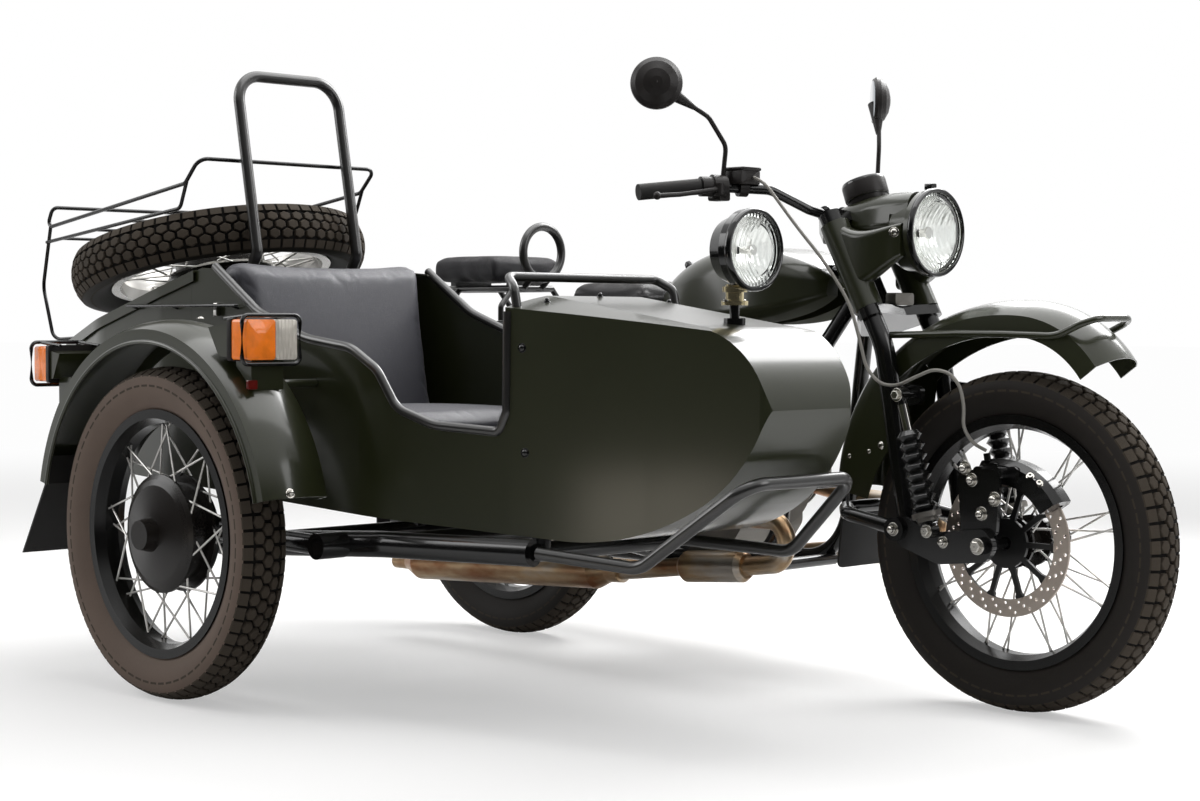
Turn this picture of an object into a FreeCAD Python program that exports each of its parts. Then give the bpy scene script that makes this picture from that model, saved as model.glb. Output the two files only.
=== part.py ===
"""Motorcycle with a sidecar, as separate named pieces.

Millimetres. +X is forward, +Y is to the rider's left, +Z is up. The pieces are placed
from the point on the floor under the rear axle, and at the end everything moves so that
the origin is the middle of the bottom of the whole machine.
"""
import FreeCAD, Part
import math
import os

V = FreeCAD.Vector

# ---------------------------------------------------------------- driving sizes
WHEELBASE = 1510.0          # rear axle to front axle
SIDECAR_TRACK = 1160.0      # motorcycle's middle to the sidecar wheel's middle
SIDECAR_LEAD = 220.0        # sidecar axle ahead of the rear axle
TYRE_R = 343.0
TYRE_HALF = 57.0
RIM_R = 256.0               # over the rim's flanges
RIM_HALF = 37.0
BEAD_R = 243.0              # where the tyre sits on the rim
FIT = 0.3                   # gap between pieces that seat on each other
RUN_GAP = 6.0               # gap beside pieces that turn
AXLE_R = 10.0
AXLE_BORE_GAP = 0.08
SPOKE_R = 2.2
SPOKE_PAIRS = 9             # each pair is one inner and one outer spoke, on each flange

RAKE = math.radians(28.0)
STEER_X, STEER_Z = 1060.0, 959.0     # a point on the steering axis
FORK_HALF = 95.0            # middle of the machine to the middle of a fork leg
FORK_TUBE_R = 21.0

BODY_Y = -705.0             # sidecar body's own middle
WALL = 4.0                  # sidecar body's sheet and lining together
SHEET = 3.0                 # mudguards


# ---------------------------------------------------------------- helpers
def solid_of(shape):
    """The shape as one solid, or as a compound of its solids."""
    solids = shape.Solids
    if len(solids) == 1:
        return solids[0]
    return Part.makeCompound(solids)


def fuse(parts):
    """All the parts joined into one, with the seams between equal faces removed."""
    parts = list(parts)
    if len(parts) == 1:
        return parts[0]
    return solid_of(parts[0].multiFuse(parts[1:]).removeSplitter())


def cut(body, *tools):
    """The body with each tool taken out of it."""
    return solid_of(body.cut(list(tools)))


def box(x0, x1, y0, y1, z0, z1):
    """A box between two values on each axis."""
    return Part.makeBox(x1 - x0, y1 - y0, z1 - z0, V(x0, y0, z0))


def rod(start, end, radius):
    """A round bar between two points."""
    run = end - start
    return Part.makeCylinder(radius, run.Length, start, run)


def cone(start, end, r_start, r_end):
    """A round bar that tapers between two points."""
    run = end - start
    return Part.makeCone(r_start, r_end, run.Length, start, run)


def route(points, radius):
    """Straight runs joined by tangent arcs of one radius, or of the radius beside each point."""
    bends = [radius] * len(points) if not isinstance(radius, (list, tuple)) else radius
    edges = []
    here = points[0]
    for i in range(1, len(points) - 1):
        corner = points[i]
        back = (points[i - 1] - corner).normalize()
        ahead = (points[i + 1] - corner).normalize()
        half = back.getAngle(ahead) / 2.0
        reach = bends[i] / math.tan(half)
        first = corner + back * reach
        last = corner + ahead * reach
        middle_way = (back + ahead).normalize()
        middle = corner + middle_way * (bends[i] / math.sin(half) - bends[i])
        if (first - here).Length > 0.01:
            edges.append(Part.LineSegment(here, first).toShape())
        edges.append(Part.Arc(first, middle, last).toShape())
        here = last
    edges.append(Part.LineSegment(here, points[-1]).toShape())
    return Part.Wire(edges)


def bent_tube(points, tube_r, bend_r):
    """A round bar carried along straight runs and tangent arcs."""
    path = route(points, bend_r)
    start = path.Edges[0]
    way = start.tangentAt(start.FirstParameter)
    ring = Part.Wire(Part.makeCircle(tube_r, points[0], way))
    return solid_of(path.makePipeShell([ring], True, False))


def polygon(points):
    """A flat face inside straight edges."""
    return Part.Face(Part.makePolygon(list(points) + [points[0]]))


def plate(points, depth):
    """A flat outline given a thickness along the vector depth."""
    return polygon(points).extrude(depth)


def rounded_outline(points, radii):
    """A closed wire through the corners, each rounded by its own radius (0 leaves it sharp)."""
    count = len(points)
    edges = []
    ends = []
    for i, corner in enumerate(points):
        back = (points[i - 1] - corner).normalize()
        ahead = (points[(i + 1) % count] - corner).normalize()
        if radii[i] <= 0:
            ends.append((corner, None, corner))
            continue
        half = back.getAngle(ahead) / 2.0
        reach = radii[i] / math.tan(half)
        middle = corner + (back + ahead).normalize() * (radii[i] / math.sin(half) - radii[i])
        ends.append((corner + back * reach, middle, corner + ahead * reach))
    for i, (first, middle, last) in enumerate(ends):
        if middle is not None:
            edges.append(Part.Arc(first, middle, last).toShape())
        following = ends[(i + 1) % count][0]
        if (following - last).Length > 0.01:
            edges.append(Part.LineSegment(last, following).toShape())
    return Part.Wire(edges)


def rounded_plate(points, radii, depth):
    """A flat outline with rounded corners, given a thickness along the vector depth."""
    return Part.Face(rounded_outline(points, radii)).extrude(depth)


def turned(profile, centre, axis=V(0, 1, 0), degrees=360.0):
    """A face or wire turned about an axis."""
    return solid_of(profile.revolve(centre, axis, degrees))


def turned_profile(pairs, centre=V(0, 0, 0)):
    """A turned solid about the Y axis from (y, radius) pairs, which close on themselves."""
    return turned(polygon([centre + V(0, y, r) for y, r in pairs]), centre)


def cushion(x0, x1, y0, y1, z0, z1, corner):
    """A padded block with rounded upright corners and bevelled top and bottom edges."""
    points = [V(x0, y0, z0), V(x1, y0, z0), V(x1, y1, z0), V(x0, y1, z0)]
    block = rounded_plate(points, [corner] * 4, V(0, 0, z1 - z0))
    rims = [e for e in block.Edges if abs(e.BoundBox.ZLength) < 0.01]
    return solid_of(block.makeChamfer(min(12.0, (z1 - z0) * 0.3), rims))


# ---------------------------------------------------------------- wheels
HUB_DRUM = {"drum_r": 112.0, "flange_r": 122.0, "half": 34.0, "boss_r": 34.0, "cap": 78.0}
HUB_FRONT = {"barrel_r": 30.0, "flange_r": 52.0, "half": 36.0}


def tyre(centre):
    """A round-shouldered tyre seated between the rim's flanges."""
    def p(y, r):
        return centre + V(0, y, r)
    bead = RIM_HALF - 5.0
    bead_r = BEAD_R + FIT
    shoulder_r = TYRE_R - 17.0
    shoulder_y = TYRE_HALF * 0.88
    edges = [Part.LineSegment(p(-bead, bead_r), p(bead, bead_r)).toShape(),
             Part.LineSegment(p(bead, bead_r), p(bead - 1.0, RIM_R + 2)).toShape(),
             Part.Arc(p(bead - 1.0, RIM_R + 2), p(TYRE_HALF, (RIM_R + TYRE_R) / 2 - 2),
                      p(shoulder_y, shoulder_r)).toShape(),
             Part.Arc(p(shoulder_y, shoulder_r), p(0, TYRE_R), p(-shoulder_y, shoulder_r)).toShape(),
             Part.Arc(p(-shoulder_y, shoulder_r), p(-TYRE_HALF, (RIM_R + TYRE_R) / 2 - 2),
                      p(-bead + 1.0, RIM_R + 2)).toShape(),
             Part.LineSegment(p(-bead + 1.0, RIM_R + 2), p(-bead, bead_r)).toShape()]
    return turned(Part.Face(Part.Wire(edges)), centre)


def rim(centre):
    """A rim with two flanges and a well in the middle."""
    flange = 4.5
    return turned_profile([(-RIM_HALF, RIM_R), (-RIM_HALF + flange - 1, RIM_R),
                           (-RIM_HALF + flange, BEAD_R),
                           (RIM_HALF - flange, BEAD_R), (RIM_HALF - flange + 1, RIM_R), (RIM_HALF, RIM_R),
                           (RIM_HALF, BEAD_R - 6), (15.0, BEAD_R - 16), (-15.0, BEAD_R - 16),
                           (-RIM_HALF, BEAD_R - 6)], centre)


def spokes(centre, flange_r, flange_y):
    """Crossed spokes from both hub flanges to the rim's well."""
    bars = []
    rim_r = BEAD_R - 14.0
    step = 360.0 / (2 * SPOKE_PAIRS)
    lean = 1.55 * step
    for side in (-1, 1):
        for i in range(2 * SPOKE_PAIRS):
            way = 1 if i % 2 else -1
            hub_angle = math.radians(i * step + (step / 2 if side > 0 else 0))
            rim_angle = hub_angle + math.radians(way * lean)
            lace = way * 2.6
            inner = V(math.cos(hub_angle) * (flange_r - 5), side * (flange_y - 3.0 + lace),
                      math.sin(hub_angle) * (flange_r - 5))
            outer = V(math.cos(rim_angle) * rim_r, side * (6.0 + lace), math.sin(rim_angle) * rim_r)
            bars.append(rod(centre + inner, centre + outer, SPOKE_R))
    return bars


def drum_hub(centre, outer_side, capped=True):
    """A full-width brake hub, open round the axle inside, and capped on its outer side or open there too."""
    h = HUB_DRUM
    s = outer_side
    bore = AXLE_R + AXLE_BORE_GAP
    pairs = [(-s * h["half"], bore), (-s * h["half"], h["drum_r"] - 4),
             (-s * (h["half"] - 6), h["flange_r"]),
             (-s * (h["half"] - 12), h["flange_r"]), (-s * (h["half"] - 14), h["drum_r"] - 8),
             (s * (h["half"] - 14), h["drum_r"] - 8), (s * (h["half"] - 12), h["flange_r"]),
             (s * (h["half"] - 6), h["flange_r"]), (s * h["half"], h["drum_r"]),
             (s * (h["half"] + 5), h["drum_r"] - 12), (s * (h["half"] + 14), h["boss_r"] + 22),
             (s * (h["half"] + 18), h["boss_r"] + 2), (s * h["cap"], h["boss_r"] - 4),
             (s * h["cap"], 0.0 if capped else bore)]
    if capped:
        pairs += [(s * (h["cap"] - 8), 0.0), (s * (h["cap"] - 8), bore)]
    return turned_profile(pairs, centre)


def front_hub(centre):
    """A narrow hub with two spoke flanges, and a boss for the disc on the right."""
    h = HUB_FRONT
    bore = AXLE_R + AXLE_BORE_GAP
    pairs = [(-h["half"] - 12, bore), (-h["half"] - 12, h["barrel_r"] + 8), (-h["half"], h["barrel_r"] + 8),
             (-h["half"], h["flange_r"]), (-h["half"] + 7, h["flange_r"]), (-h["half"] + 10, h["barrel_r"]),
             (h["half"] - 10, h["barrel_r"]), (h["half"] - 7, h["flange_r"]), (h["half"], h["flange_r"]),
             (h["half"], h["barrel_r"]), (h["half"] + 10, h["barrel_r"] - 6), (h["half"] + 10, bore)]
    return turned_profile(pairs, centre)


DISC_R = 147.5
DISC_INNER_R = 112.0
DISC_Y = -HUB_FRONT["half"] - 16.0
DISC_HALF = 2.5
DISC_ARMS = 10
DISC_DRILL_R = 3.4
DISC_DRILLS = 24                                            # holes in each row
DISC_ROWS = ((119.0, 0.0), (129.0, 0.33), (139.0, 0.66))    # (row's radius, shift in steps between holes)


def front_disc(centre):
    """A drilled ring of steel on a ten-armed carrier, bolted to the hub's right end."""
    def at(radius, degrees, y):
        a = math.radians(degrees)
        return centre + V(radius * math.cos(a), y, radius * math.sin(a))
    low, high = DISC_Y - DISC_HALF, DISC_Y + DISC_HALF
    seat = -HUB_FRONT["half"] - 12.0
    ring = cut(rod(at(0, 0, low), at(0, 0, high), DISC_R),
               rod(at(0, 0, low - 6), at(0, 0, high + 6), DISC_INNER_R))
    drills = []
    step = 360.0 / DISC_DRILLS
    for radius, share in DISC_ROWS:
        for i in range(DISC_DRILLS):
            angle = (i + share) * step
            drills.append(rod(at(radius, angle, low - 2), at(radius, angle, high + 2), DISC_DRILL_R))
    ring = ring.cut(Part.makeCompound(drills))
    carrier = cut(rod(at(0, 0, DISC_Y - 4), at(0, 0, seat - FIT), 50.0),
                  rod(at(0, 0, DISC_Y - 9), at(0, 0, seat + 9), AXLE_R + 3.0))
    pieces = [ring, carrier]
    for i in range(DISC_ARMS):
        angle = i * 360.0 / DISC_ARMS
        arm = box(44.0, DISC_INNER_R - 4, DISC_Y - 4, DISC_Y + 3, -5.5, 5.5)
        arm.rotate(V(0, 0, 0), V(0, 1, 0), angle)
        arm.translate(centre)
        pieces.append(arm)
        button = DISC_INNER_R - 2.0
        pieces.append(rod(at(button, -angle, DISC_Y - 4.5), at(button, -angle, DISC_Y + 3.5), 8.5))
    return fuse(pieces)


REAR_AXLE = V(0, 0, TYRE_R)
FRONT_AXLE = V(WHEELBASE, 0, TYRE_R)
SIDE_AXLE = V(SIDECAR_LEAD, -SIDECAR_TRACK, TYRE_R)

nodes = {}
nodes["front_tyre"] = tyre(FRONT_AXLE)
nodes["front_wire_wheel"] = fuse([rim(FRONT_AXLE), front_hub(FRONT_AXLE)]
                                 + spokes(FRONT_AXLE, HUB_FRONT["flange_r"], HUB_FRONT["half"]))
nodes["front_brake_disc"] = front_disc(FRONT_AXLE)
nodes["rear_tyre"] = tyre(REAR_AXLE)
nodes["rear_wire_wheel"] = fuse([rim(REAR_AXLE), drum_hub(REAR_AXLE, 1, False)]
                                + spokes(REAR_AXLE, HUB_DRUM["flange_r"], HUB_DRUM["half"] - 6))
nodes["sidecar_tyre"] = tyre(SIDE_AXLE)
nodes["sidecar_wire_wheel"] = fuse([rim(SIDE_AXLE), drum_hub(SIDE_AXLE, -1)]
                                   + spokes(SIDE_AXLE, HUB_DRUM["flange_r"], HUB_DRUM["half"] - 6))

# ---------------------------------------------------------------- steering axis and fork
STEER_UP = V(-math.sin(RAKE), 0, math.cos(RAKE))
STEER_AHEAD = V(math.cos(RAKE), 0, math.sin(RAKE))
STEER_POINT = V(STEER_X, 0, STEER_Z)


def on_stem(along, ahead=0.0, y=0.0):
    """A point given by its height along the steering axis and its distance ahead of it."""
    return STEER_POINT + STEER_UP * along + STEER_AHEAD * ahead + V(0, y, 0)


TUBE_AHEAD = 46.0           # fork tubes ahead of the steering axis
UPPER_YOKE = 18.0           # heights along the steering axis
LOWER_YOKE = -205.0
YOKE_HALF = 11.0
LINK_PIVOT = V(1300.0, 0, 362.0)
LEG_KNEE = on_stem(-282.0, TUBE_AHEAD)
SHOCK_TOP = V(1318.0, 0, 636.0)
SHOCK_FOOT = V(1395.0, 0, 366.0)
LINK_R = 15.0
LOOP_BACK = V(1108.0, 0, 388.0)     # the leading arm's cross tube
HEAD_TUBE_R = 32.0
LINK_Y = FORK_HALF + 36.0     # the swing arm's sides
SHOCK_EYE_HALF = 12.0
SHAFT_R = 9.5               # the bright shaft above the front springs
SHOCK_Y = LINK_Y + 7.0 + SHOCK_EYE_HALF + FIT
SHAFT_GAP = 0.08            # running gap round the steering stem
STEM_R = 13.0


def mirrored(shape):
    """The same piece on the other side of the motorcycle."""
    return shape.mirror(V(0, 0, 0), V(0, 1, 0))


def yoke(along, thick):
    """A fork yoke: a flat plate round both tubes and the stem."""
    lower = on_stem(along - thick)
    outline = []
    for ahead, y in ((-34, -46), (TUBE_AHEAD - 6, -FORK_HALF - 32), (TUBE_AHEAD + 30, -FORK_HALF - 24),
                     (TUBE_AHEAD + 16, 0), (TUBE_AHEAD + 30, FORK_HALF + 24),
                     (TUBE_AHEAD - 6, FORK_HALF + 32), (-34, 46)):
        outline.append(lower + STEER_AHEAD * ahead + V(0, y, 0))
    radii = [24, 26, 22, 0, 22, 26, 24]
    return rounded_plate(outline, radii, STEER_UP * (2 * thick))


def fork_leg(side, grow=0.0):
    """One bent leg tube, or its clearance when grown."""
    y = side * FORK_HALF
    top = on_stem(UPPER_YOKE + YOKE_HALF + 6, TUBE_AHEAD, y)
    return bent_tube([top, LEG_KNEE + V(0, y, 0), LINK_PIVOT + V(0, y, 0)], FORK_TUBE_R + grow, 160.0)


def fork():
    """Stem, two yokes, two bent legs with pivot eyes and shock lugs, and the lower brace."""
    pieces = [yoke(UPPER_YOKE, YOKE_HALF), yoke(LOWER_YOKE, YOKE_HALF),
              rod(on_stem(LOWER_YOKE), on_stem(UPPER_YOKE), STEM_R)]
    for side in (-1, 1):
        y = side * FORK_HALF
        foot = LINK_PIVOT + V(0, y, 0)
        pieces.append(fork_leg(side))
        pieces.append(rod(foot + V(0, -side * 22, 0), foot + V(0, side * 20, 0), 25.0))
        lug_top = V(SHOCK_TOP.x, y, SHOCK_TOP.z)
        lug = rounded_plate([lug_top + V(-72, -side * 5, 24), lug_top + V(16, -side * 5, 18),
                             lug_top + V(16, -side * 5, -18), lug_top + V(-66, -side * 5, -34)],
                            [0, 15, 15, 0], V(0, side * 15, 0))
        pieces.append(lug)
        pieces.append(rod(lug_top, V(SHOCK_TOP.x, side * (SHOCK_Y - SHOCK_EYE_HALF - FIT), SHOCK_TOP.z),
                          8.0))
    pieces.append(rod(V(1300, -FORK_HALF, 644), V(1300, -136.2, 653), 4.0))
    return fuse(pieces)


def front_swing_arm():
    """The leading arm: a tube behind the tyre with a curved plate down each side to the axle."""
    y = LINK_Y
    back = LOOP_BACK
    pieces = []
    loop = [V(LINK_PIVOT.x, -y, LINK_PIVOT.z), V(back.x + 60, -y, back.z - 4), V(back.x, -y + 70, back.z),
            V(back.x, y - 70, back.z), V(back.x + 60, y, back.z - 4), V(LINK_PIVOT.x, y, LINK_PIVOT.z)]
    pieces.append(bent_tube(loop, LINK_R, [0, 46, 40, 40, 46, 0]))
    for side in (-1, 1):
        eye = V(LINK_PIVOT.x, side * y, LINK_PIVOT.z)
        end = V(FRONT_AXLE.x, side * y, FRONT_AXLE.z)
        foot = V(SHOCK_FOOT.x, side * y, SHOCK_FOOT.z)
        outline = [eye + V(-26, 0, 6), eye + V(10, 0, 28), foot + V(0, 0, -4), end + V(4, 0, 34),
                   end + V(34, 0, 2), end + V(10, 0, -32), foot + V(10, 0, -68), eye + V(10, 0, -34)]
        arm = rounded_plate([p + V(0, -side * 7, 0) for p in outline], [12, 18, 40, 20, 24, 20, 60, 20],
                            V(0, side * 14, 0))
        pieces.append(arm)
        pieces.append(rod(eye + V(0, -side * 12, 0), eye + V(0, side * 16, 0), 24.0))
        pieces.append(rod(foot, V(foot.x, side * (SHOCK_Y - SHOCK_EYE_HALF - FIT), foot.z), 9.0))
    axle = rod(V(FRONT_AXLE.x, -y - 14, FRONT_AXLE.z), V(FRONT_AXLE.x, y + 14, FRONT_AXLE.z), AXLE_R)
    nuts = [rod(V(FRONT_AXLE.x, s * (y + 7), FRONT_AXLE.z), V(FRONT_AXLE.x, s * (y + 20), FRONT_AXLE.z),
                17.0)
            for s in (-1, 1)]
    return fuse(pieces + [axle] + nuts)


def spring_profile(length, wire_r, coil_r, turns):
    """(distance, radius) pairs of a coil spring's outline, out and back for each turn."""
    pairs = []
    pitch = length / turns
    for i in range(turns):
        pairs.append((i * pitch, coil_r - 2 * wire_r))
        pairs.append((i * pitch + pitch * 0.5, coil_r))
    pairs.append((length, coil_r - 2 * wire_r))
    return pairs


def shock_absorber(top, foot, coil_r, turns, eye_r=15.0, eye_half=12.0, cover=0.22, cover_r=None):
    """An eye at each end, a cover or a bare shaft, a coil spring and a foot, all in one turned piece."""
    cap_r = cover_r or coil_r + 2
    run = foot - top
    length = run.Length
    pairs = [(0.0, 0.0), (0.0, 9.0), (eye_r + 4, 9.0), (eye_r + 4, cap_r), (length * cover, cap_r)]
    spring_start = length * cover
    spring_length = length * (0.86 - cover)
    for along, radius in spring_profile(spring_length, 4.5, coil_r, turns):
        pairs.append((spring_start + along, radius))
    pairs += [(length * 0.86, coil_r + 2), (length * 0.88, coil_r + 2), (length * 0.88, coil_r * 0.72),
              (length - eye_r, coil_r * 0.72), (length - eye_r, 9.0), (length, 9.0), (length, 0.0)]
    flat = polygon([V(r, 0, a) for a, r in pairs])
    body = turned(flat, V(0, 0, 0), V(0, 0, 1))
    body.Placement = FreeCAD.Placement(top, FreeCAD.Rotation(V(0, 0, 1), run))
    eyes = [rod(p + V(0, -eye_half, 0), p + V(0, eye_half, 0), eye_r) for p in (top, foot)]
    return fuse([body] + eyes)


nodes["fork"] = fork()
nodes["front_swing_arm"] = front_swing_arm()
front_shock = shock_absorber(SHOCK_TOP + V(0, -SHOCK_Y, 0), SHOCK_FOOT + V(0, -SHOCK_Y, 0), 27.0, 8,
                             eye_half=SHOCK_EYE_HALF, cover=0.27, cover_r=SHAFT_R)
nodes["fork_shocks"] = Part.makeCompound([front_shock, mirrored(front_shock)])


# ---------------------------------------------------------------- front mudguard
GUARD_CROWN_R = 485.0
GUARD_DEPTH = 72.0
GUARD_HALF = FORK_HALF - FORK_TUBE_R - FIT
GUARD_REAR = -40.0          # degrees from straight up, forwards positive
GUARD_TURN = 5.0            # where the tighter front arc starts
GUARD_FRONT_R = 270.0
GUARD_FRONT = 54.0


def arch_section(centre, crown_r, depth, half, sheet):
    """A domed channel section above an axle, in the plane x = centre.x."""
    def p(y, r):
        return centre + V(0, y, r)
    edge_r = crown_r - depth
    shoulder = crown_r - depth * 0.42
    inner = half - sheet
    edges = [Part.LineSegment(p(-half, edge_r), p(-half, shoulder)).toShape(),
             Part.Arc(p(-half, shoulder), p(0, crown_r), p(half, shoulder)).toShape(),
             Part.LineSegment(p(half, shoulder), p(half, edge_r)).toShape(),
             Part.LineSegment(p(half, edge_r), p(inner, edge_r)).toShape(),
             Part.LineSegment(p(inner, edge_r), p(inner, shoulder)).toShape(),
             Part.Arc(p(inner, shoulder), p(0, crown_r - sheet), p(-inner, shoulder)).toShape(),
             Part.LineSegment(p(-inner, shoulder), p(-inner, edge_r)).toShape(),
             Part.LineSegment(p(-inner, edge_r), p(-half, edge_r)).toShape()]
    return Part.Face(Part.Wire(edges))


def mudguard(centre, crown_r, depth, half, start, end):
    """A channel section turned about an axle, between two angles from straight up, forwards positive."""
    section = arch_section(centre, crown_r, depth, half, SHEET)
    section.rotate(centre, V(0, 1, 0), start)
    return turned(section, centre, V(0, 1, 0), end - start)


def on_circle(centre, radius, degrees, y=0.0):
    """A point at an angle from straight up, forwards positive."""
    a = math.radians(degrees)
    return centre + V(radius * math.sin(a), y, radius * math.cos(a))


GUARD_FRONT_CENTRE = on_circle(FRONT_AXLE, GUARD_CROWN_R - GUARD_FRONT_R, GUARD_TURN)


def front_mudguard():
    """The deep guard: a long arc about the axle and a tighter one that droops in front."""
    rear = mudguard(FRONT_AXLE, GUARD_CROWN_R, GUARD_DEPTH, GUARD_HALF, GUARD_REAR, GUARD_TURN)
    front = mudguard(GUARD_FRONT_CENTRE, GUARD_FRONT_R, GUARD_DEPTH, GUARD_HALF, GUARD_TURN, GUARD_FRONT)
    return fuse([rear, front])


def mudguard_stays():
    """The tube guard round the front and a bracket from each fork leg."""
    y = GUARD_HALF + 7.0 + FIT
    top, knee, tip = FRONT_AXLE + V(2, 0, 417), FRONT_AXLE + V(130, 0, 414), FRONT_AXLE + V(206, 0, 449)
    side_y = V(0, y, 0)
    end_y = V(0, y - 6, 0)
    bow = [on_circle(FRONT_AXLE, 430, -14, -y), top - side_y, knee - side_y, tip - end_y,
           tip + end_y, knee + side_y, top + side_y, on_circle(FRONT_AXLE, 430, -14, y)]
    pieces = [bent_tube(bow, 7.0, [0, 60, 90, 40, 40, 90, 60, 0])]
    for side in (-1, 1):
        foot = on_stem(-255.0, TUBE_AHEAD, side * y)
        pieces.append(rod(foot, on_circle(FRONT_AXLE, 430, -14, side * y), 7.0))
    return cut(fuse(pieces), fork_leg(-1, FIT), fork_leg(1, FIT))


nodes["front_mudguard"] = Part.makeCompound([front_mudguard(), mudguard_stays()])


# ---------------------------------------------------------------- headlamp and nacelle
LAMP = V(1284.0, 0, 968.0)
LAMP_R = 91.0
EAR_R = 31.0                # the covers round the fork tubes
EAR_ARM = (                 # (x, y, z, half width, half height) from the fork leg to the lamp
    (1128, 96, 918, 20, 66), (1190, 96, 918, 22, 54), (1230, 92, 934, 18, 44),
    (LAMP.x - 16, 82, 952, 10, 34))


def turned_x(pairs, centre):
    """A turned solid about an axis along X, from (x, radius) pairs that close on themselves."""
    return turned(polygon([centre + V(x, 0, r) for x, r in pairs]), centre, V(1, 0, 0))


def headlamp():
    """The lamp bowl with its rim, open in front, and the nacelle behind it."""
    bowl = turned_x([(10, LAMP_R), (10, LAMP_R - 8), (-4, LAMP_R - 8), (-4, LAMP_R - 14), (-60, 46),
                     (-62, 0),
                     (-118, 0), (-112, 34), (-88, 62), (-54, 80), (-14, LAMP_R - 5), (-10, LAMP_R)], LAMP)
    def cowl(inset, below):
        """The nacelle's outer form, or its inside when inset."""
        outlines = []
        for x, w, low, high, r in ((-16, 78, 6, 84, 22), (-150, 70, -8, 74, 22), (-214, 54, 4, 58, 14)):
            w, z0, z1 = w - inset, LAMP.z + low - below, LAMP.z + high - inset
            outlines.append(rounded_outline([V(LAMP.x + x, -w, z0), V(LAMP.x + x, w, z0),
                                             V(LAMP.x + x, w * 0.8, z1),
                                             V(LAMP.x + x, -w * 0.8, z1)], [r, r, 1.5 * r, 1.5 * r]))
        return solid_of(Part.makeLoft(outlines, True, False))
    shell = cut(cowl(0.0, 0.0), cowl(SHEET, 60.0),
                rod(LAMP + V(-60, 0, 0), LAMP + V(60, 0, 0), LAMP_R - 10))
    clear = [yoke(UPPER_YOKE, YOKE_HALF + 1), fork_leg(-1, 1.0), fork_leg(1, 1.0)]
    ears = []
    for side in (-1, 1):
        low = on_stem(LOWER_YOKE + YOKE_HALF + FIT, TUBE_AHEAD, side * FORK_HALF)
        high = on_stem(UPPER_YOKE - YOKE_HALF - FIT, TUBE_AHEAD, side * FORK_HALF)
        sleeve = cut(rod(low, high, EAR_R), rod(low - STEER_UP, high + STEER_UP, FORK_TUBE_R + FIT))
        outlines = []
        for x, y, z, half_y, half_z in EAR_ARM:
            y0, y1 = side * y - half_y, side * y + half_y
            corners = [V(x, y0, z - half_z), V(x, y1, z - half_z), V(x, y1, z + half_z),
                       V(x, y0, z + half_z)]
            outlines.append(rounded_outline(corners, [half_y * 0.7] * 4))
        arm = cut(solid_of(Part.makeLoft(outlines, True, False)), fork_leg(side, FIT))
        ears.append(cut(fuse([sleeve, arm]), rod(LAMP - V(60, 0, 0), LAMP + V(60, 0, 0), LAMP_R - 10)))
    return cut(fuse([bowl, shell] + ears), *clear)


nodes["headlamp"] = headlamp()
nodes["headlamp_lens"] = turned_x([(8, LAMP_R - 8 - FIT), (14, LAMP_R - 26), (17, 30), (17.5, 0), (12.5, 0),
                                   (12, 30), (9, LAMP_R - 28), (-3.6, LAMP_R - 8 - FIT)], LAMP)


# ---------------------------------------------------------------- handlebar
BAR_R = 11.0
GRIP_R = 17.0
BAR_POINTS = [V(1026, -38, 1012), V(1014, -78, 1022), V(976, -160, 1062), V(912, -300, 1066),
              V(852, -432, 1050)]


def handlebar():
    """One bent bar with a grip on each end and two clamps to the upper yoke."""
    right = list(reversed(BAR_POINTS))
    left = [V(p.x, -p.y, p.z) for p in BAR_POINTS]
    bar = bent_tube(right + left, BAR_R, [0, 60, 60, 30, 30, 30, 30, 60, 60, 0])
    pieces = [bar]
    clamp_height = (V(1026, 0, 1012) - STEER_POINT).dot(STEER_UP)
    for side in (-1, 1):
        clamp_at = V(1026, side * 30, 1012)
        pieces.append(rod(clamp_at - STEER_UP * (clamp_height - UPPER_YOKE - YOKE_HALF - FIT), clamp_at,
                          13.0))
        pieces.append(rod(clamp_at + V(0, -11, 0), clamp_at + V(0, 11, 0), 19.0))
    return fuse(pieces)


def grips():
    """The two rubber grips round the bar's ends."""
    pieces = []
    a, b = BAR_POINTS[-2], BAR_POINTS[-1]
    way = (b - a).normalize()
    grip = cut(rod(a + way * 10, b + way * 2, GRIP_R), rod(a, b + way * 0.2, BAR_R + FIT))
    pieces.append(grip)
    pieces.append(mirrored(grip))
    return Part.makeCompound(pieces)


nodes["handlebar"] = handlebar()
nodes["grips"] = grips()


LEVER_R = 5.0
LEVER = ((944, -285, 1060), (929, -330, 1052), (914, -376, 1045), (900, -428, 1041))
FLUID_BOX = (24.0, 30.0, 9.0, 43.0)     # half length, half width, foot and top above the bar's middle


def hand_controls():
    """A switch housing and a lever each side, and the front brake's fluid box on the right."""
    a, b = BAR_POINTS[-2], BAR_POINTS[-1]
    way = (b - a).normalize()
    back_way = (BAR_POINTS[-3] - a).normalize()
    bore = [rod(a + way * 12, a, BAR_R + FIT), rod(a, a + back_way * 130, BAR_R + FIT),
            Part.makeSphere(BAR_R + FIT, a)]
    housing = rod(a + way * 8, a + back_way * 24, 21.0)
    points = [V(*row) for row in LEVER]
    blade = bent_tube(points, LEVER_R, [0, 60, 60, 0])
    bracket = rod(a + back_way * 12, points[0], 9.0)
    pivot = rod(points[0] + V(0, 0, -11), points[0] + V(0, 0, 11), 9.0)
    ball = Part.makeSphere(LEVER_R + 3.5, points[-1])
    side = cut(fuse([housing, blade, bracket, pivot, ball]), *bore)
    half_x, half_y, low, high = FLUID_BOX
    at = a + back_way * 88
    fluid_box = cushion(at.x - half_x, at.x + half_x, at.y - half_y, at.y + half_y, at.z + low, at.z + high,
                        5)
    clamp = rod(at + back_way * 10, at - back_way * 10, 18.0)
    return Part.makeCompound([cut(side, *bore), cut(fuse([fluid_box, clamp]), *bore), mirrored(side)])


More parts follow.
